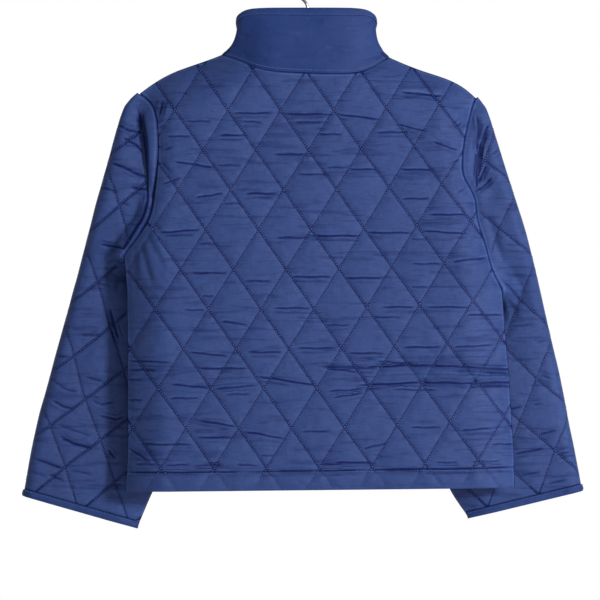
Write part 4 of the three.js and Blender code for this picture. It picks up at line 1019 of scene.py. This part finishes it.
def stitch_object(name, starts, ends, normals, radius):
    """Short stitches as one mesh. Each is a low arch of four rings from its start to its end."""
    count = len(starts)
    run = ends - starts
    side = np.cross(run, normals)
    side /= np.maximum(np.linalg.norm(side, axis=1, keepdims=True), 1e-9)
    turns = np.arange(STITCH_SIDES) * 2 * math.pi / STITCH_SIDES
    rings = []
    for t, size, height in STITCH_RINGS:
        centre = starts + run * t + normals * radius * height
        for turn in turns:
            rings.append(centre + radius * size * (side * math.cos(turn) + normals * math.sin(turn)))
    points = np.stack(rings, axis=1).reshape(-1, 3)
    k, j = np.meshgrid(np.arange(len(STITCH_RINGS) - 1), np.arange(STITCH_SIDES), indexing="ij")
    here, beside = STITCH_SIDES * k + j, STITCH_SIDES * k + (j + 1) % STITCH_SIDES
    sides = np.stack([here, beside, beside + STITCH_SIDES, here + STITCH_SIDES], axis=-1).reshape(-1, 4)
    last = STITCH_SIDES * (len(STITCH_RINGS) - 1)
    caps = np.array([np.arange(STITCH_SIDES)[::-1], last + np.arange(STITCH_SIDES)])
    first_points = STITCH_SIDES * len(STITCH_RINGS) * np.arange(count)[:, None, None]
    table = (sides[None] + first_points).reshape(-1, 4).tolist()
    table += (caps[None] + first_points).reshape(-1, STITCH_SIDES).tolist()
    obj = new_object(name, points, table)
    obj.data.shade_smooth()
    return obj


# Stitches: their pitch, length and thread's radius, and how far they stay from a piece's edges.
STITCH_PITCH, STITCH_LENGTH, THREAD, STITCH_INSET = 2.7, 1.7, 0.34, 3
# Stitches are drawn where at least this much of the quilting shows.
STITCH_SHOWS = 0.6
# The part of the quilting that a panel can reach, as along from and to and across from and to, and that a
# sleeve can reach across.
PANEL_REACH = (-60, 385, -200, 250)
SLEEVE_REACH = (-160, 260)


def quilting_lines(along_from, along_to, across_from, across_to):
    """The starts and ends of the stitches on both directions of lines in a range, as along and across."""
    across_step, along_step = DIAMOND_WIDE / DIAMOND_SIDE, DIAMOND_TALL / DIAMOND_SIDE
    starts, ends = [], []
    for sign in (1, -1):
        low = across_from / DIAMOND_WIDE + min(sign * along_from, sign * along_to) / DIAMOND_TALL
        high = across_to / DIAMOND_WIDE + max(sign * along_from, sign * along_to) / DIAMOND_TALL
        for number in range(math.ceil(low), math.floor(high) + 1):
            length = (along_to - along_from) / along_step
            run = np.arange(0, length, STITCH_PITCH)
            along = along_from + run * along_step
            across = DIAMOND_WIDE * (number - sign * along / DIAMOND_TALL)
            keep = (across > across_from) & (across < across_to)
            starts.append(np.stack([along, across], 1)[keep])
            ends.append(np.stack([along + STITCH_LENGTH * along_step,
                                  across - sign * STITCH_LENGTH * across_step], 1)[keep])
    return np.concatenate(starts), np.concatenate(ends)


# How the quilting fades: over what distance beside the gathers, into the casing and above the hem, and
# how much of it the casing and the hem hide.
GATHERS_EDGE, CASING_EDGE, HEM_EDGE = 5, 40, 3
CASING_HIDES, HEM_HIDES = 0.6, 0.8


def quilted_part(panel, x, down):
    """How much of the quilting shows on a panel: little on the hem and on the casing's right half, and none
    where its underarm is gathered."""
    near = np.hypot(x - GATHERED[0], down - GATHERED[1])
    gathered = ease((near - GATHERED[2]) / GATHERS_EDGE) if panel is BACK else 1
    casing = ease((x * -panel.facing - CASING_FROM) / CASING_EDGE)
    casing = casing * np.exp(-((down - CASING_AT) / CASING_HALF) ** 4)
    hem = ease((down - hem_down(x) + HEM_DEEP) / HEM_EDGE)
    return gathered * (1 - CASING_HIDES * casing) * (1 - HEM_HIDES * hem)


# Where down the hem's line of stitches takes its ends from the side edges.
HEM_ENDS_AT = 515.0


def panel_stitches(name, panel, place, left, right):
    """Quilting stitches of a panel, kept inside its outline, and the hem's line."""
    starts, ends = quilting_lines(*PANEL_REACH)
    x, down = place(starts[:, 0], starts[:, 1])
    keep = (x > left(down) + STITCH_INSET) & (x < right(down) - STITCH_INSET)
    keep &= (down > panel_top(panel, x) + STITCH_INSET) & (down < hem_down(x) - STITCH_INSET)
    keep &= quilted_part(panel, x, down) > STITCH_SHOWS
    x_end, down_end = place(ends[keep, 0], ends[keep, 1])
    x, down = x[keep], down[keep]
    hem_x = np.arange(left(HEM_ENDS_AT) + STITCH_INSET, right(HEM_ENDS_AT) - STITCH_INSET, STITCH_PITCH)
    hem_line = hem_down(hem_x) - HEM_DEEP
    x = np.concatenate([x, hem_x])
    down = np.concatenate([down, hem_line])
    x_end = np.concatenate([x_end, hem_x + STITCH_LENGTH])
    down_end = np.concatenate([down_end, hem_down(hem_x + STITCH_LENGTH) - HEM_DEEP])
    first, normal = panel.outside(x, down)
    second, _ = panel.outside(x_end, down_end)
    return stitch_object(name, first, second, normal, THREAD)


# How far a sleeve's stitches stay from the shoulder's tip and from the cuff's binding.
SLEEVE_TOP_CLEAR, SLEEVE_END_CLEAR = 6, 2


def sleeve_stitches(name, form):
    """Quilting stitches of a sleeve, kept inside its seams."""
    top, bottom = form.tip + SLEEVE_TOP_CLEAR, form.sleeve.end - CUFF_BINDING - SLEEVE_END_CLEAR
    starts, ends = quilting_lines(top, bottom, *SLEEVE_REACH)
    starts = np.stack(form.unpattern(starts[:, 0], starts[:, 1]), axis=1)
    ends = np.stack(form.unpattern(ends[:, 0], ends[:, 1]), axis=1)
    off = starts[:, 1] - form.fold(starts[:, 0])
    _, down, _, armhole = form.from_seam(starts[:, 0], starts[:, 1])
    keep = (np.abs(off) < form.unrolled(starts[:, 0]) - STITCH_INSET)
    keep &= form.quilted(down, armhole) > STITCH_SHOWS
    keep &= (starts[:, 0] > top) & (starts[:, 0] < bottom)
    starts, ends = starts[keep], ends[keep]
    first, normal = form.outside(starts[:, 0], starts[:, 1])
    second, _ = form.outside(ends[:, 0], ends[:, 1])
    return stitch_object(name, first, second, normal, THREAD)


# A cuff's line of stitches: how far below the binding's upper edge it is, how high it lies over the
# binding, and where it stops before the seam.
CUFF_LINE, CUFF_LINE_HIGH, CUFF_LINE_STOP = 1.4, 0.5, 5


def cuff_stitches(name, form):
    """One line of stitches round a cuff, just below the binding's upper edge."""
    at = form.sleeve.end - CUFF_BINDING + CUFF_LINE
    width = float(form.unrolled(at))
    across = np.arange(form.fold(at) - width + STITCH_INSET, form.fold(at) + width - CUFF_LINE_STOP,
                       STITCH_PITCH)
    along = np.full_like(across, at)
    high = np.full_like(across, BINDING + CUFF_LINE_HIGH)
    first, normal = form.outside(along, across, high)
    second, _ = form.outside(along, across + STITCH_LENGTH, high)
    return stitch_object(name, first, second, normal, THREAD)


# The collar's two lines of stitches: where along it they are, and how high over its inside.
COLLAR_LINES = ((COLLAR["band_end"] * 0.86, BINDING + 0.45), (0.955, WALL))
# A collar stitch takes three of the four parts that each pitch is cut into.
PITCH_PARTS, STITCH_PARTS = 4, 3


def collar_stitches(name):
    """Two lines of stitches round the collar: on the band and over the neck seam."""
    starts, ends, normals = [], [], []
    for along, thick in COLLAR_LINES:
        line = collar_inside(np.full(COLLAR_STEPS + 1, along), even_angles(along, COLLAR_STEPS))
        total = np.linalg.norm(np.diff(line, axis=0), axis=1).sum()
        count = int(total / STITCH_PITCH)
        angles = even_angles(along, count * PITCH_PARTS)
        first, second = angles[:-PITCH_PARTS:PITCH_PARTS], angles[STITCH_PARTS:-1:PITCH_PARTS]
        start, normal = collar_outside(np.full_like(first, along), first, thick)
        end, _ = collar_outside(np.full_like(second, along), second, thick)
        starts.append(start)
        ends.append(end)
        normals.append(normal)
    return stitch_object(name, np.concatenate(starts), np.concatenate(ends), np.concatenate(normals), THREAD)


def middle_front(down):
    """The depth of the cloth's inside along the middle of the front."""
    seam = body_half(0.0, NECK_FRONT_DROP)
    t = (down - COLLAR["top_front"]) / (NECK_FRONT_DROP - COLLAR["top_front"])
    return np.where(down >= NECK_FRONT_DROP, body_half(0.0 * down, down), mix(COLLAR["top_depth"], seam, t))


# The zip's teeth: pitch, height, and how far they reach past the middle. The first and last keep 1 mm from
# the zip's ends, and a tooth stands a little over its tape.
TOOTH_PITCH, TOOTH_TALL, TOOTH_REACH, TOOTH_CLEAR, TOOTH_LIFT = 2.6, 1.5, 0.7, 1, 0.05
# A tooth's three sections from tip to tape: how far out each is, and half its share of the tooth's height.
TOOTH_SECTIONS = ((0.0, 0.5), (0.35, 0.36), (1.0, 0.5))
# A tooth's ten faces between the four corners of each section.
TOOTH_FACES = np.array([
    [0, 1, 5, 4], [2, 6, 7, 3], [0, 4, 6, 2], [1, 3, 7, 5],
    [4, 5, 9, 8], [6, 10, 11, 7], [4, 8, 10, 6], [5, 7, 11, 9], [0, 2, 3, 1], [8, 9, 11, 10],
])


def zip_teeth():
    """Moulded teeth on both tapes, half a pitch apart and interlocked below the slider. A tooth is three
    oblong sections, narrower at the second, each with four corners."""
    out, half = np.repeat(TOOTH_SECTIONS, 4, axis=0).T
    deep = np.tile([TOOTH_LIFT, TOOTH_LIFT, ZIP_CHAIN, ZIP_CHAIN], 3)
    edge = half * np.tile([-1, 1], 6)
    rows = []
    for side, late in ((-1, 0), (1, TOOTH_PITCH / 2)):
        down = np.arange(ZIP_TOP + TOOTH_CLEAR + late, ZIP_BOTTOM - TOOTH_CLEAR, TOOTH_PITCH)[:, None]
        x = mix(-side * TOOTH_REACH, side * ZIP_HALF, out) + 0 * down
        rows.append(np.stack([x, middle_front(down) + deep, -(down + edge * TOOTH_TALL)], axis=-1))
    points = np.concatenate(rows)
    first_points = len(out) * np.arange(len(points))[:, None, None]
    faces = (TOOTH_FACES[None] + first_points).reshape(-1, 4).tolist()
    return new_object("zip_teeth", points.reshape(-1, 3), faces)


class Value:
    """One output of a shader node. Sums and products of values make the nodes that work them out."""

    def __init__(self, tree, socket):
        self.tree, self.socket = tree, socket

    def math(self, operation, *others, clamp=False):
        """A Math node on this value and others."""
        node = self.tree.nodes.new("ShaderNodeMath")
        node.operation, node.use_clamp = operation, clamp
        for place, value in enumerate((self, *others)):
            feed(self.tree, value, node.inputs[place])
        return Value(self.tree, node.outputs[0])

    def __add__(self, other):
        return self.math("ADD", other)

    def __sub__(self, other):
        return self.math("SUBTRACT", other)

    def __mul__(self, other):
        return self.math("MULTIPLY", other)

    def __rsub__(self, other):
        return (self * -1) + other

    __radd__ = __add__
    __rmul__ = __mul__

    def sine(self):
        """The sine of this value."""
        return self.math("SINE")

    def clamped(self):
        """This value, kept from 0 to 1."""
        return self.math("ADD", 0.0, clamp=True)

    def bell(self, width):
        """A bell curve of this value: e to the power of less its square over the width's square."""
        return ((self * self) * (-1 / width ** 2)).math("EXPONENT")


def feed(tree, value, socket):
    """Joins a value to a socket, or sets a plain number or colour on it."""
    if isinstance(value, Value):
        tree.links.new(value.socket, socket)
    else:
        socket.default_value = value


class Finish:
    """A material and its nodes."""

    def __init__(self, name):
        self.material = bpy.data.materials.new(name)
        self.material.use_nodes = True
        self.tree = self.material.node_tree
        self.shader = self.tree.nodes["Principled BSDF"]

    def node(self, kind, output=0, settings=None, **inputs):
        """A node of any kind with its settings and inputs, as one of its outputs."""
        node = self.tree.nodes.new("ShaderNode" + kind)
        for name, setting in (settings or {}).items():
            setattr(node, name, setting)
        for name, value in inputs.items():
            feed(self.tree, value, node.inputs[name.replace("_", " ")])
        return Value(self.tree, node.outputs[output])

    def places(self):
        """The place on the object, as x, y and z in metres."""
        place = self.node("TexCoord", "Object")
        return [self.node("SeparateXYZ", axis, Vector=place) for axis in "XYZ"], place

    def mixed(self, share, first, second):
        """The colour between two colours. A Mix node's sockets 0, 6 and 7 are its factor and two colours."""
        node = self.tree.nodes.new("ShaderNodeMix")
        node.data_type = "RGBA"
        feed(self.tree, share, node.inputs[0])
        feed(self.tree, first, node.inputs[6])
        feed(self.tree, second, node.inputs[7])
        return Value(self.tree, node.outputs[2])

    def set(self, **inputs):
        """Sets or joins sockets of the shader."""
        for name, value in inputs.items():
            feed(self.tree, value, self.shader.inputs[name.replace("_", " ")])
        return self


def linear(red, green, blue):
    """A colour given as it looks on a screen, 0 to 255, as the light it stands for."""
    def one(value):
        c = value / 255
        return c / 12.92 if c <= 0.04045 else ((c + 0.055) / 1.055) ** 2.4
    return one(red), one(green), one(blue), 1.0


# The quilted cloth's face, its darker tone which painted shade also mixes to, and paler clouds, the plain
# cloth's, the painted highlight beside a fold, and thread.
CLOTH_BLUE, CLOTH_DARK_AND_SHADE, CLOTH_PALE = linear(29, 42, 77), linear(4, 13, 50), linear(34, 48, 84)
PLAIN_BLUE, PLAIN_DEEP, PAINTED_HIGHLIGHT_BLUE = linear(17, 32, 69), linear(10, 23, 56), linear(50, 68, 112)
THREAD_BLUE, THREAD_PALE = linear(16, 32, 72), linear(40, 60, 106)
# The weave has one thread for each 0.55 mm. A bump of 1 stands for a relief of 0.6 mm.
WEAVE = 2 * math.pi / (0.55 * MM)
CLOTH_RELIEF = 0.6 * MM
# Painted light and shade of the quilted cloth's grooves, creases and seams. What ends in WIDE or OFF is in
# millimetres from a line, and the rest are shares. The two directions of stitched lines have painted dark
# lines of shade of their own, the falling ones darker and wider, as the light falls across them.
RISING_WIDE, RISING_DARK, FALLING_WIDE = 0.9, 0.8, 1.2
# A crease's painted dark line of shade wavers. Where the cloud noise is high, a fainter one follows below
# it.
WAVER, CREASE_WIDE, DEEPEST = 0.7, 1.0, 1.6
SECOND_OFF, SECOND_WIDE, SECOND_DARK, SECOND_LEVEL, SECOND_GAIN = 4.4, 1.1, 0.5, 0.42, 5.0
# The wide shade round the deepest creases.
HOLLOW_WIDE, HOLLOW_GAIN, HOLLOW_LEVEL, HOLLOW_DARK = 8.0, 0.5, 0.9, 0.4
# Faint level wrinkles as painted shade and a dip of the relief: how many in a metre, sideways and up, and
# where their noise begins to show.
STREAK_SIDEWAYS, STREAK_UP, STREAK_LEVEL, STREAK_GAIN, STREAK_SHADE = 22.0, 210.0, 0.56, 7.0, 0.28
# The painted highlights above a crease and beside a seam, the seam's painted dark line of shade, a crease's
# raised upper lip, and the painted shade of a crease's line.
RIM_OFF, RIM_WIDE, CREASE_HIGHLIGHT = 2.2, 1.0, 0.22
SEAM_RIM_OFF, SEAM_RIM_WIDE, SEAM_HIGHLIGHT, SEAM_WIDE, SEAM_DARK = 2.2, 0.8, 0.4, 1.1, 0.9
LIP_OFF, LIP_WIDE, LIP_HIGH, CREASE_DARK = 1.6, 1.3, 0.6, 0.85
# How far down the relief goes at a groove, a crease and a streak.
GROOVE_DOWN, CREASE_DOWN, STREAK_DOWN = 1.6, 1.6, 1.1


def paint_fold_light_and_shade(finish, tint, shade, height, soft, cloud, x, y, z):
    """The tint, shade and height of quilted cloth: painted shade as a sharp dark line down each stitched
    groove, each crease and each seam and as a wide shade round the deepest creases, painted highlights
    beside creases and seams, and faint level wrinkles of painted shade and lower relief. They are drawn from
    the places that the mesh carries. The distance to a stitched line is a ping-pong of the place in the
    quilting."""
    along, across, off, crease_deep, seam_off, patch = [
        finish.node("Attribute", "Fac", {"attribute_name": carried}) for carried in
        ("quilt_along", "quilt_across", "crease_off", "crease_deep", "seam_off", "quilted")]
    one = (across * (1 / DIAMOND_WIDE) + along * (1 / DIAMOND_TALL)).math("PINGPONG", 0.5)
    two = (across * (1 / DIAMOND_WIDE) - along * (1 / DIAMOND_TALL)).math("PINGPONG", 0.5)
    rising, falling = one * (1 / LINE_SLOPE), two * (1 / LINE_SLOPE)
    # Painted shade down the stitched grooves, darker on the falling lines, across which the light falls.
    groove = (rising.bell(RISING_WIDE) * RISING_DARK + falling.bell(FALLING_WIDE)).clamped() * patch
    # Painted shade along each crease, and a wider painted shade round the deepest creases.
    wavy = off + (soft - 0.5) * WAVER
    faint = ((cloud - SECOND_LEVEL) * SECOND_GAIN).clamped()
    second = (wavy - SECOND_OFF).bell(SECOND_WIDE) * faint * SECOND_DARK
    crease = (wavy.bell(CREASE_WIDE) + second) * crease_deep.math("MINIMUM", DEEPEST)
    hollow = off.bell(HOLLOW_WIDE) * (crease_deep * HOLLOW_GAIN - HOLLOW_LEVEL).clamped()
    # Faint level wrinkles: painted shade and a dip of the relief.
    streak_place = finish.node("CombineXYZ", X=x * STREAK_SIDEWAYS, Y=y * STREAK_SIDEWAYS, Z=z * STREAK_UP)
    streak = finish.node("TexNoise", Vector=streak_place, Scale=1.0, Detail=1.0, Distortion=0.4)
    fine = ((streak - STREAK_LEVEL) * STREAK_GAIN).clamped() * patch
    # Painted highlights above each crease and beside each seam.
    tint = finish.mixed((wavy + RIM_OFF).bell(RIM_WIDE) * crease_deep * CREASE_HIGHLIGHT, tint, PAINTED_HIGHLIGHT_BLUE)
    tint = finish.mixed((seam_off - SEAM_RIM_OFF).bell(SEAM_RIM_WIDE) * SEAM_HIGHLIGHT, tint, PAINTED_HIGHLIGHT_BLUE)
    # All the painted shade of grooves, creases, seams and wrinkles, on top of the threads' uneven tone.
    folded = groove + crease * CREASE_DARK + hollow * HOLLOW_DARK
    shade = (shade + folded + seam_off.bell(SEAM_WIDE) * SEAM_DARK + fine * STREAK_SHADE).clamped()
    lip = (wavy + LIP_OFF).bell(LIP_WIDE) * crease_deep * LIP_HIGH
    return tint, shade, height - groove * GROOVE_DOWN - crease * CREASE_DOWN + lip - fine * STREAK_DOWN


def cloth_finish(name, colour, deep, pale, bump, quilting):
    """Woven nylon. Two crossed sine waves are its weave, and two stretched noises its uneven threads.
    Quilted cloth also has painted shade and painted highlights at its grooves, creases and seams."""
    finish = Finish(name)
    (x, y, z), place = finish.places()
    weave = (x * WEAVE).sine() * (z * WEAVE).sine()
    warp_place = finish.node("CombineXYZ", X=x * 900.0, Y=y * 900.0, Z=z * 90.0)
    weft_place = finish.node("CombineXYZ", X=x * 90.0, Y=y * 90.0, Z=z * 900.0)
    warp = finish.node("TexNoise", Vector=warp_place, Scale=1.0, Detail=2.0)
    weft = finish.node("TexNoise", Vector=weft_place, Scale=1.0, Detail=2.0)
    slub = warp * 0.4 + weft - 0.7
    cloud = finish.node("TexNoise", Vector=place, Scale=22.0, Detail=4.0, Roughness=0.6)
    soft = finish.node("TexNoise", Vector=place, Scale=130.0, Detail=3.0, Roughness=0.55)
    tint = finish.mixed((cloud * 1.6 - 0.55).clamped(), colour, pale)
    # The threads' uneven tone; on quilted cloth the painted shade is added to it.
    shade = (slub * 0.6 + soft * 0.5 - 0.1).clamped()
    height = weave * 0.1 + slub * 0.6 + soft * 1.6
    if quilting:
        tint, shade, height = paint_fold_light_and_shade(finish, tint, shade, height, soft, cloud, x, y, z)
    # Mixed towards the darker colour by the threads' tone and, on quilted cloth, by the painted shade.
    tint = finish.mixed(shade, tint, deep)
    normal = finish.node("Bump", Strength=bump, Distance=CLOTH_RELIEF, Height=height)
    finish.set(Base_Color=tint, Roughness=(slub * 0.25 + 0.5), Normal=normal, Specular_IOR_Level=0.05)
    return finish.material


def thread_finish():
    """Twisted polyester thread, about as light as the cloth, with paler flecks."""
    finish = Finish("thread")
    _, place = finish.places()
    fleck = finish.node("TexNoise", Vector=place, Scale=500.0, Detail=2.0)
    tint = finish.mixed((fleck * 2.6 - 0.95).clamped(), THREAD_BLUE, THREAD_PALE)
    finish.set(Base_Color=tint, Roughness=(fleck * 0.2 + 0.45))
    return finish.material


def metal_finish(name, dark, light, roughness):
    """Metal with faint, uneven rub marks."""
    finish = Finish(name)
    _, place = finish.places()
    rub = finish.node("TexNoise", Vector=place, Scale=260.0, Detail=4.0, Roughness=0.7)
    finish.set(Base_Color=finish.mixed(rub, dark, light), Metallic=1.0, Roughness=(rub * 0.2 + roughness))
    return finish.material


def wood_finish():
    """Pale varnished wood with its grain along the hanger's arms."""
    finish = Finish("hanger wood")
    (x, y, z), _ = finish.places()
    grain_place = finish.node("CombineXYZ", X=x * 6.0, Y=y * 90.0, Z=z * 90.0)
    grain = finish.node("TexNoise", Vector=grain_place, Scale=3.0, Detail=6.0, Roughness=0.65)
    tint = finish.mixed((grain * 1.8 - 0.4).clamped(), linear(176, 128, 78), linear(214, 170, 116))
    normal = finish.node("Bump", Strength=0.15, Distance=0.0005, Height=grain)
    finish.set(Base_Color=tint, Roughness=(grain * 0.2 + 0.32), Normal=normal)
    return finish.material


quilted = cloth_finish("quilted nylon", CLOTH_BLUE, CLOTH_DARK_AND_SHADE, CLOTH_PALE, 0.6, True)
plain = cloth_finish("plain nylon", PLAIN_BLUE, PLAIN_DEEP, CLOTH_BLUE, 0.5, False)
tape_cloth = cloth_finish("zip tape", PLAIN_DEEP, PLAIN_DEEP, PLAIN_BLUE, 0.6, False)
thread = thread_finish()
zip_metal = metal_finish("zip metal", linear(120, 124, 132), linear(176, 180, 188), 0.28)
hook_metal = metal_finish("hook wire", linear(70, 72, 78), linear(128, 130, 136), 0.2)


def place_piece(obj, material, slot, *nodes):
    """Gives a piece its material, and lets it ride and stand for its solids. The slot is not used."""
    obj.data.materials.clear()
    obj.data.materials.append(material)
    if nodes:
        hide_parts(*nodes)
    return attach(obj, "root")


# Each cloth piece with the rows and columns of its outside's grid, which are whole steps of the lining's.
left_form, right_form = SleeveForm(SLEEVES["left"]), SleeveForm(SLEEVES["right"])
back = place_piece(make_panel("back_cloth", BACK, side_of("left"), side_of("right"), 312, 280),
                   quilted, "quilted_cloth", "back")
front_left = place_piece(make_panel("front_left_cloth", FRONT, side_of("left"), zip_edge(-1), 232, 108),
                         quilted, "quilted_cloth", "front_left")
front_right = place_piece(make_panel("front_right_cloth", FRONT, zip_edge(1), side_of("right"), 232, 120),
                          quilted, "quilted_cloth", "front_right")
sleeve_left = place_piece(make_sleeve(left_form, "sleeve_left_cloth", 260, 212),
                          quilted, "quilted_cloth", "sleeve_left")
sleeve_right = place_piece(make_sleeve(right_form, "sleeve_right_cloth", 260, 188),
                           quilted, "quilted_cloth", "sleeve_right")
cuff_left = place_piece(make_cuff(left_form, "cuff_left_cloth", 212),
                        plain, "plain_cloth", "cuff_binding_left")
cuff_right = place_piece(make_cuff(right_form, "cuff_right_cloth", 188),
                         plain, "plain_cloth", "cuff_binding_right")
collar, collar_band = make_collar()
place_piece(collar, plain, "plain_cloth", "collar")
place_piece(collar_band, plain, "plain_cloth", "collar_binding")
teeth = place_piece(zip_teeth(), zip_metal, "zip_metal", "zip_chain")

stitches = {
    "back": panel_stitches("back_stitches", BACK, back_place, side_of("left"), side_of("right")),
    "front_left": panel_stitches("front_left_stitches", FRONT, front_place, side_of("left"), zip_edge(-1)),
    "front_right": panel_stitches("front_right_stitches", FRONT, front_place, zip_edge(1), side_of("right")),
    "sleeve_left": sleeve_stitches("sleeve_left_stitches", left_form),
    "sleeve_right": sleeve_stitches("sleeve_right_stitches", right_form),
    "cuff_left": cuff_stitches("cuff_left_stitches", left_form),
    "cuff_right": cuff_stitches("cuff_right_stitches", right_form),
    "collar": collar_stitches("collar_stitches"),
}
for line in stitches.values():
    place_piece(line, thread, "quilted_cloth")

for node, material in {"zip_tape_left": tape_cloth, "zip_tape_right": tape_cloth, "zip_slider": zip_metal,
                       "zip_pull": zip_metal, "hanger": wood_finish(), "hook": hook_metal}.items():
    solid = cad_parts[node]
    solid.data.materials.clear()
    solid.data.materials.append(material)

# A pale floor below the hanging jacket.
FLOOR_DROP, FLOOR_HALF = 950, 2200
corners = [(x * FLOOR_HALF, y * FLOOR_HALF, -FLOOR_DROP) for x, y in ((-1, -1), (1, -1), (1, 1), (-1, 1))]
floor = new_object("floor", corners, [[0, 1, 2, 3]])
floor_finish = Finish("floor")
floor_place = floor_finish.node("TexCoord", "Object")
mottle = floor_finish.node("TexNoise", Vector=floor_place, Scale=3.0, Detail=2.0)
floor_tint = floor_finish.mixed(mottle, (0.86, 0.86, 0.86, 1), (0.9, 0.9, 0.9, 1))
floor_finish.set(Base_Color=floor_tint, Roughness=0.8)
floor.data.materials.append(floor_finish.material)

world = bpy.data.worlds.new("studio")
world.use_nodes = True
world.node_tree.nodes["Background"].inputs["Color"].default_value = (1.0, 1.0, 1.0, 1)
world.node_tree.nodes["Background"].inputs["Strength"].default_value = 1.0
bpy.context.scene.world = world


def aim(obj, target):
    """Turns a light or camera, whose own view is down its -Z, to look at a point."""
    offset = np.array(target) - np.array(obj.location)
    flat = math.hypot(offset[0], offset[1])
    tip_up = math.pi / 2 + math.atan2(offset[2], flat)
    obj.rotation_euler = (tip_up, 0, math.atan2(-offset[0], offset[1]))


JACKET_MIDDLE = (0, 0, -0.3)


def area_light(name, place, size, power):
    """A square soft light aimed at the middle of the jacket."""
    light = bpy.data.lights.new(name, "AREA")
    light.size, light.energy = size, power
    obj = bpy.data.objects.new(name, light)
    obj.location = place
    bpy.context.scene.collection.objects.link(obj)
    aim(obj, JACKET_MIDDLE)
    return obj


area_light("key", (1.8, -2.0, 0.1), 0.45, 172)
area_light("fill", (-0.1, -1.1, -1.25), 0.8, 126)
bpy.context.scene.view_settings.view_transform = "Standard"

# The camera looks level at the back from far away. One millimetre of the jacket is one pixel wide.
FRAME_WIDE, FAR, SENSOR = 0.6, 6.0, 36.0
camera_data = bpy.data.cameras.new("camera")
camera_data.sensor_width = SENSOR
camera_data.lens = SENSOR * FAR / FRAME_WIDE
camera_data.clip_end = 60
camera = bpy.data.objects.new("camera", camera_data)
camera.location = (-0.007, -FAR, -0.336)
camera.rotation_euler = (math.pi / 2, 0, 0)
bpy.context.scene.collection.objects.link(camera)
bpy.context.scene.camera = camera
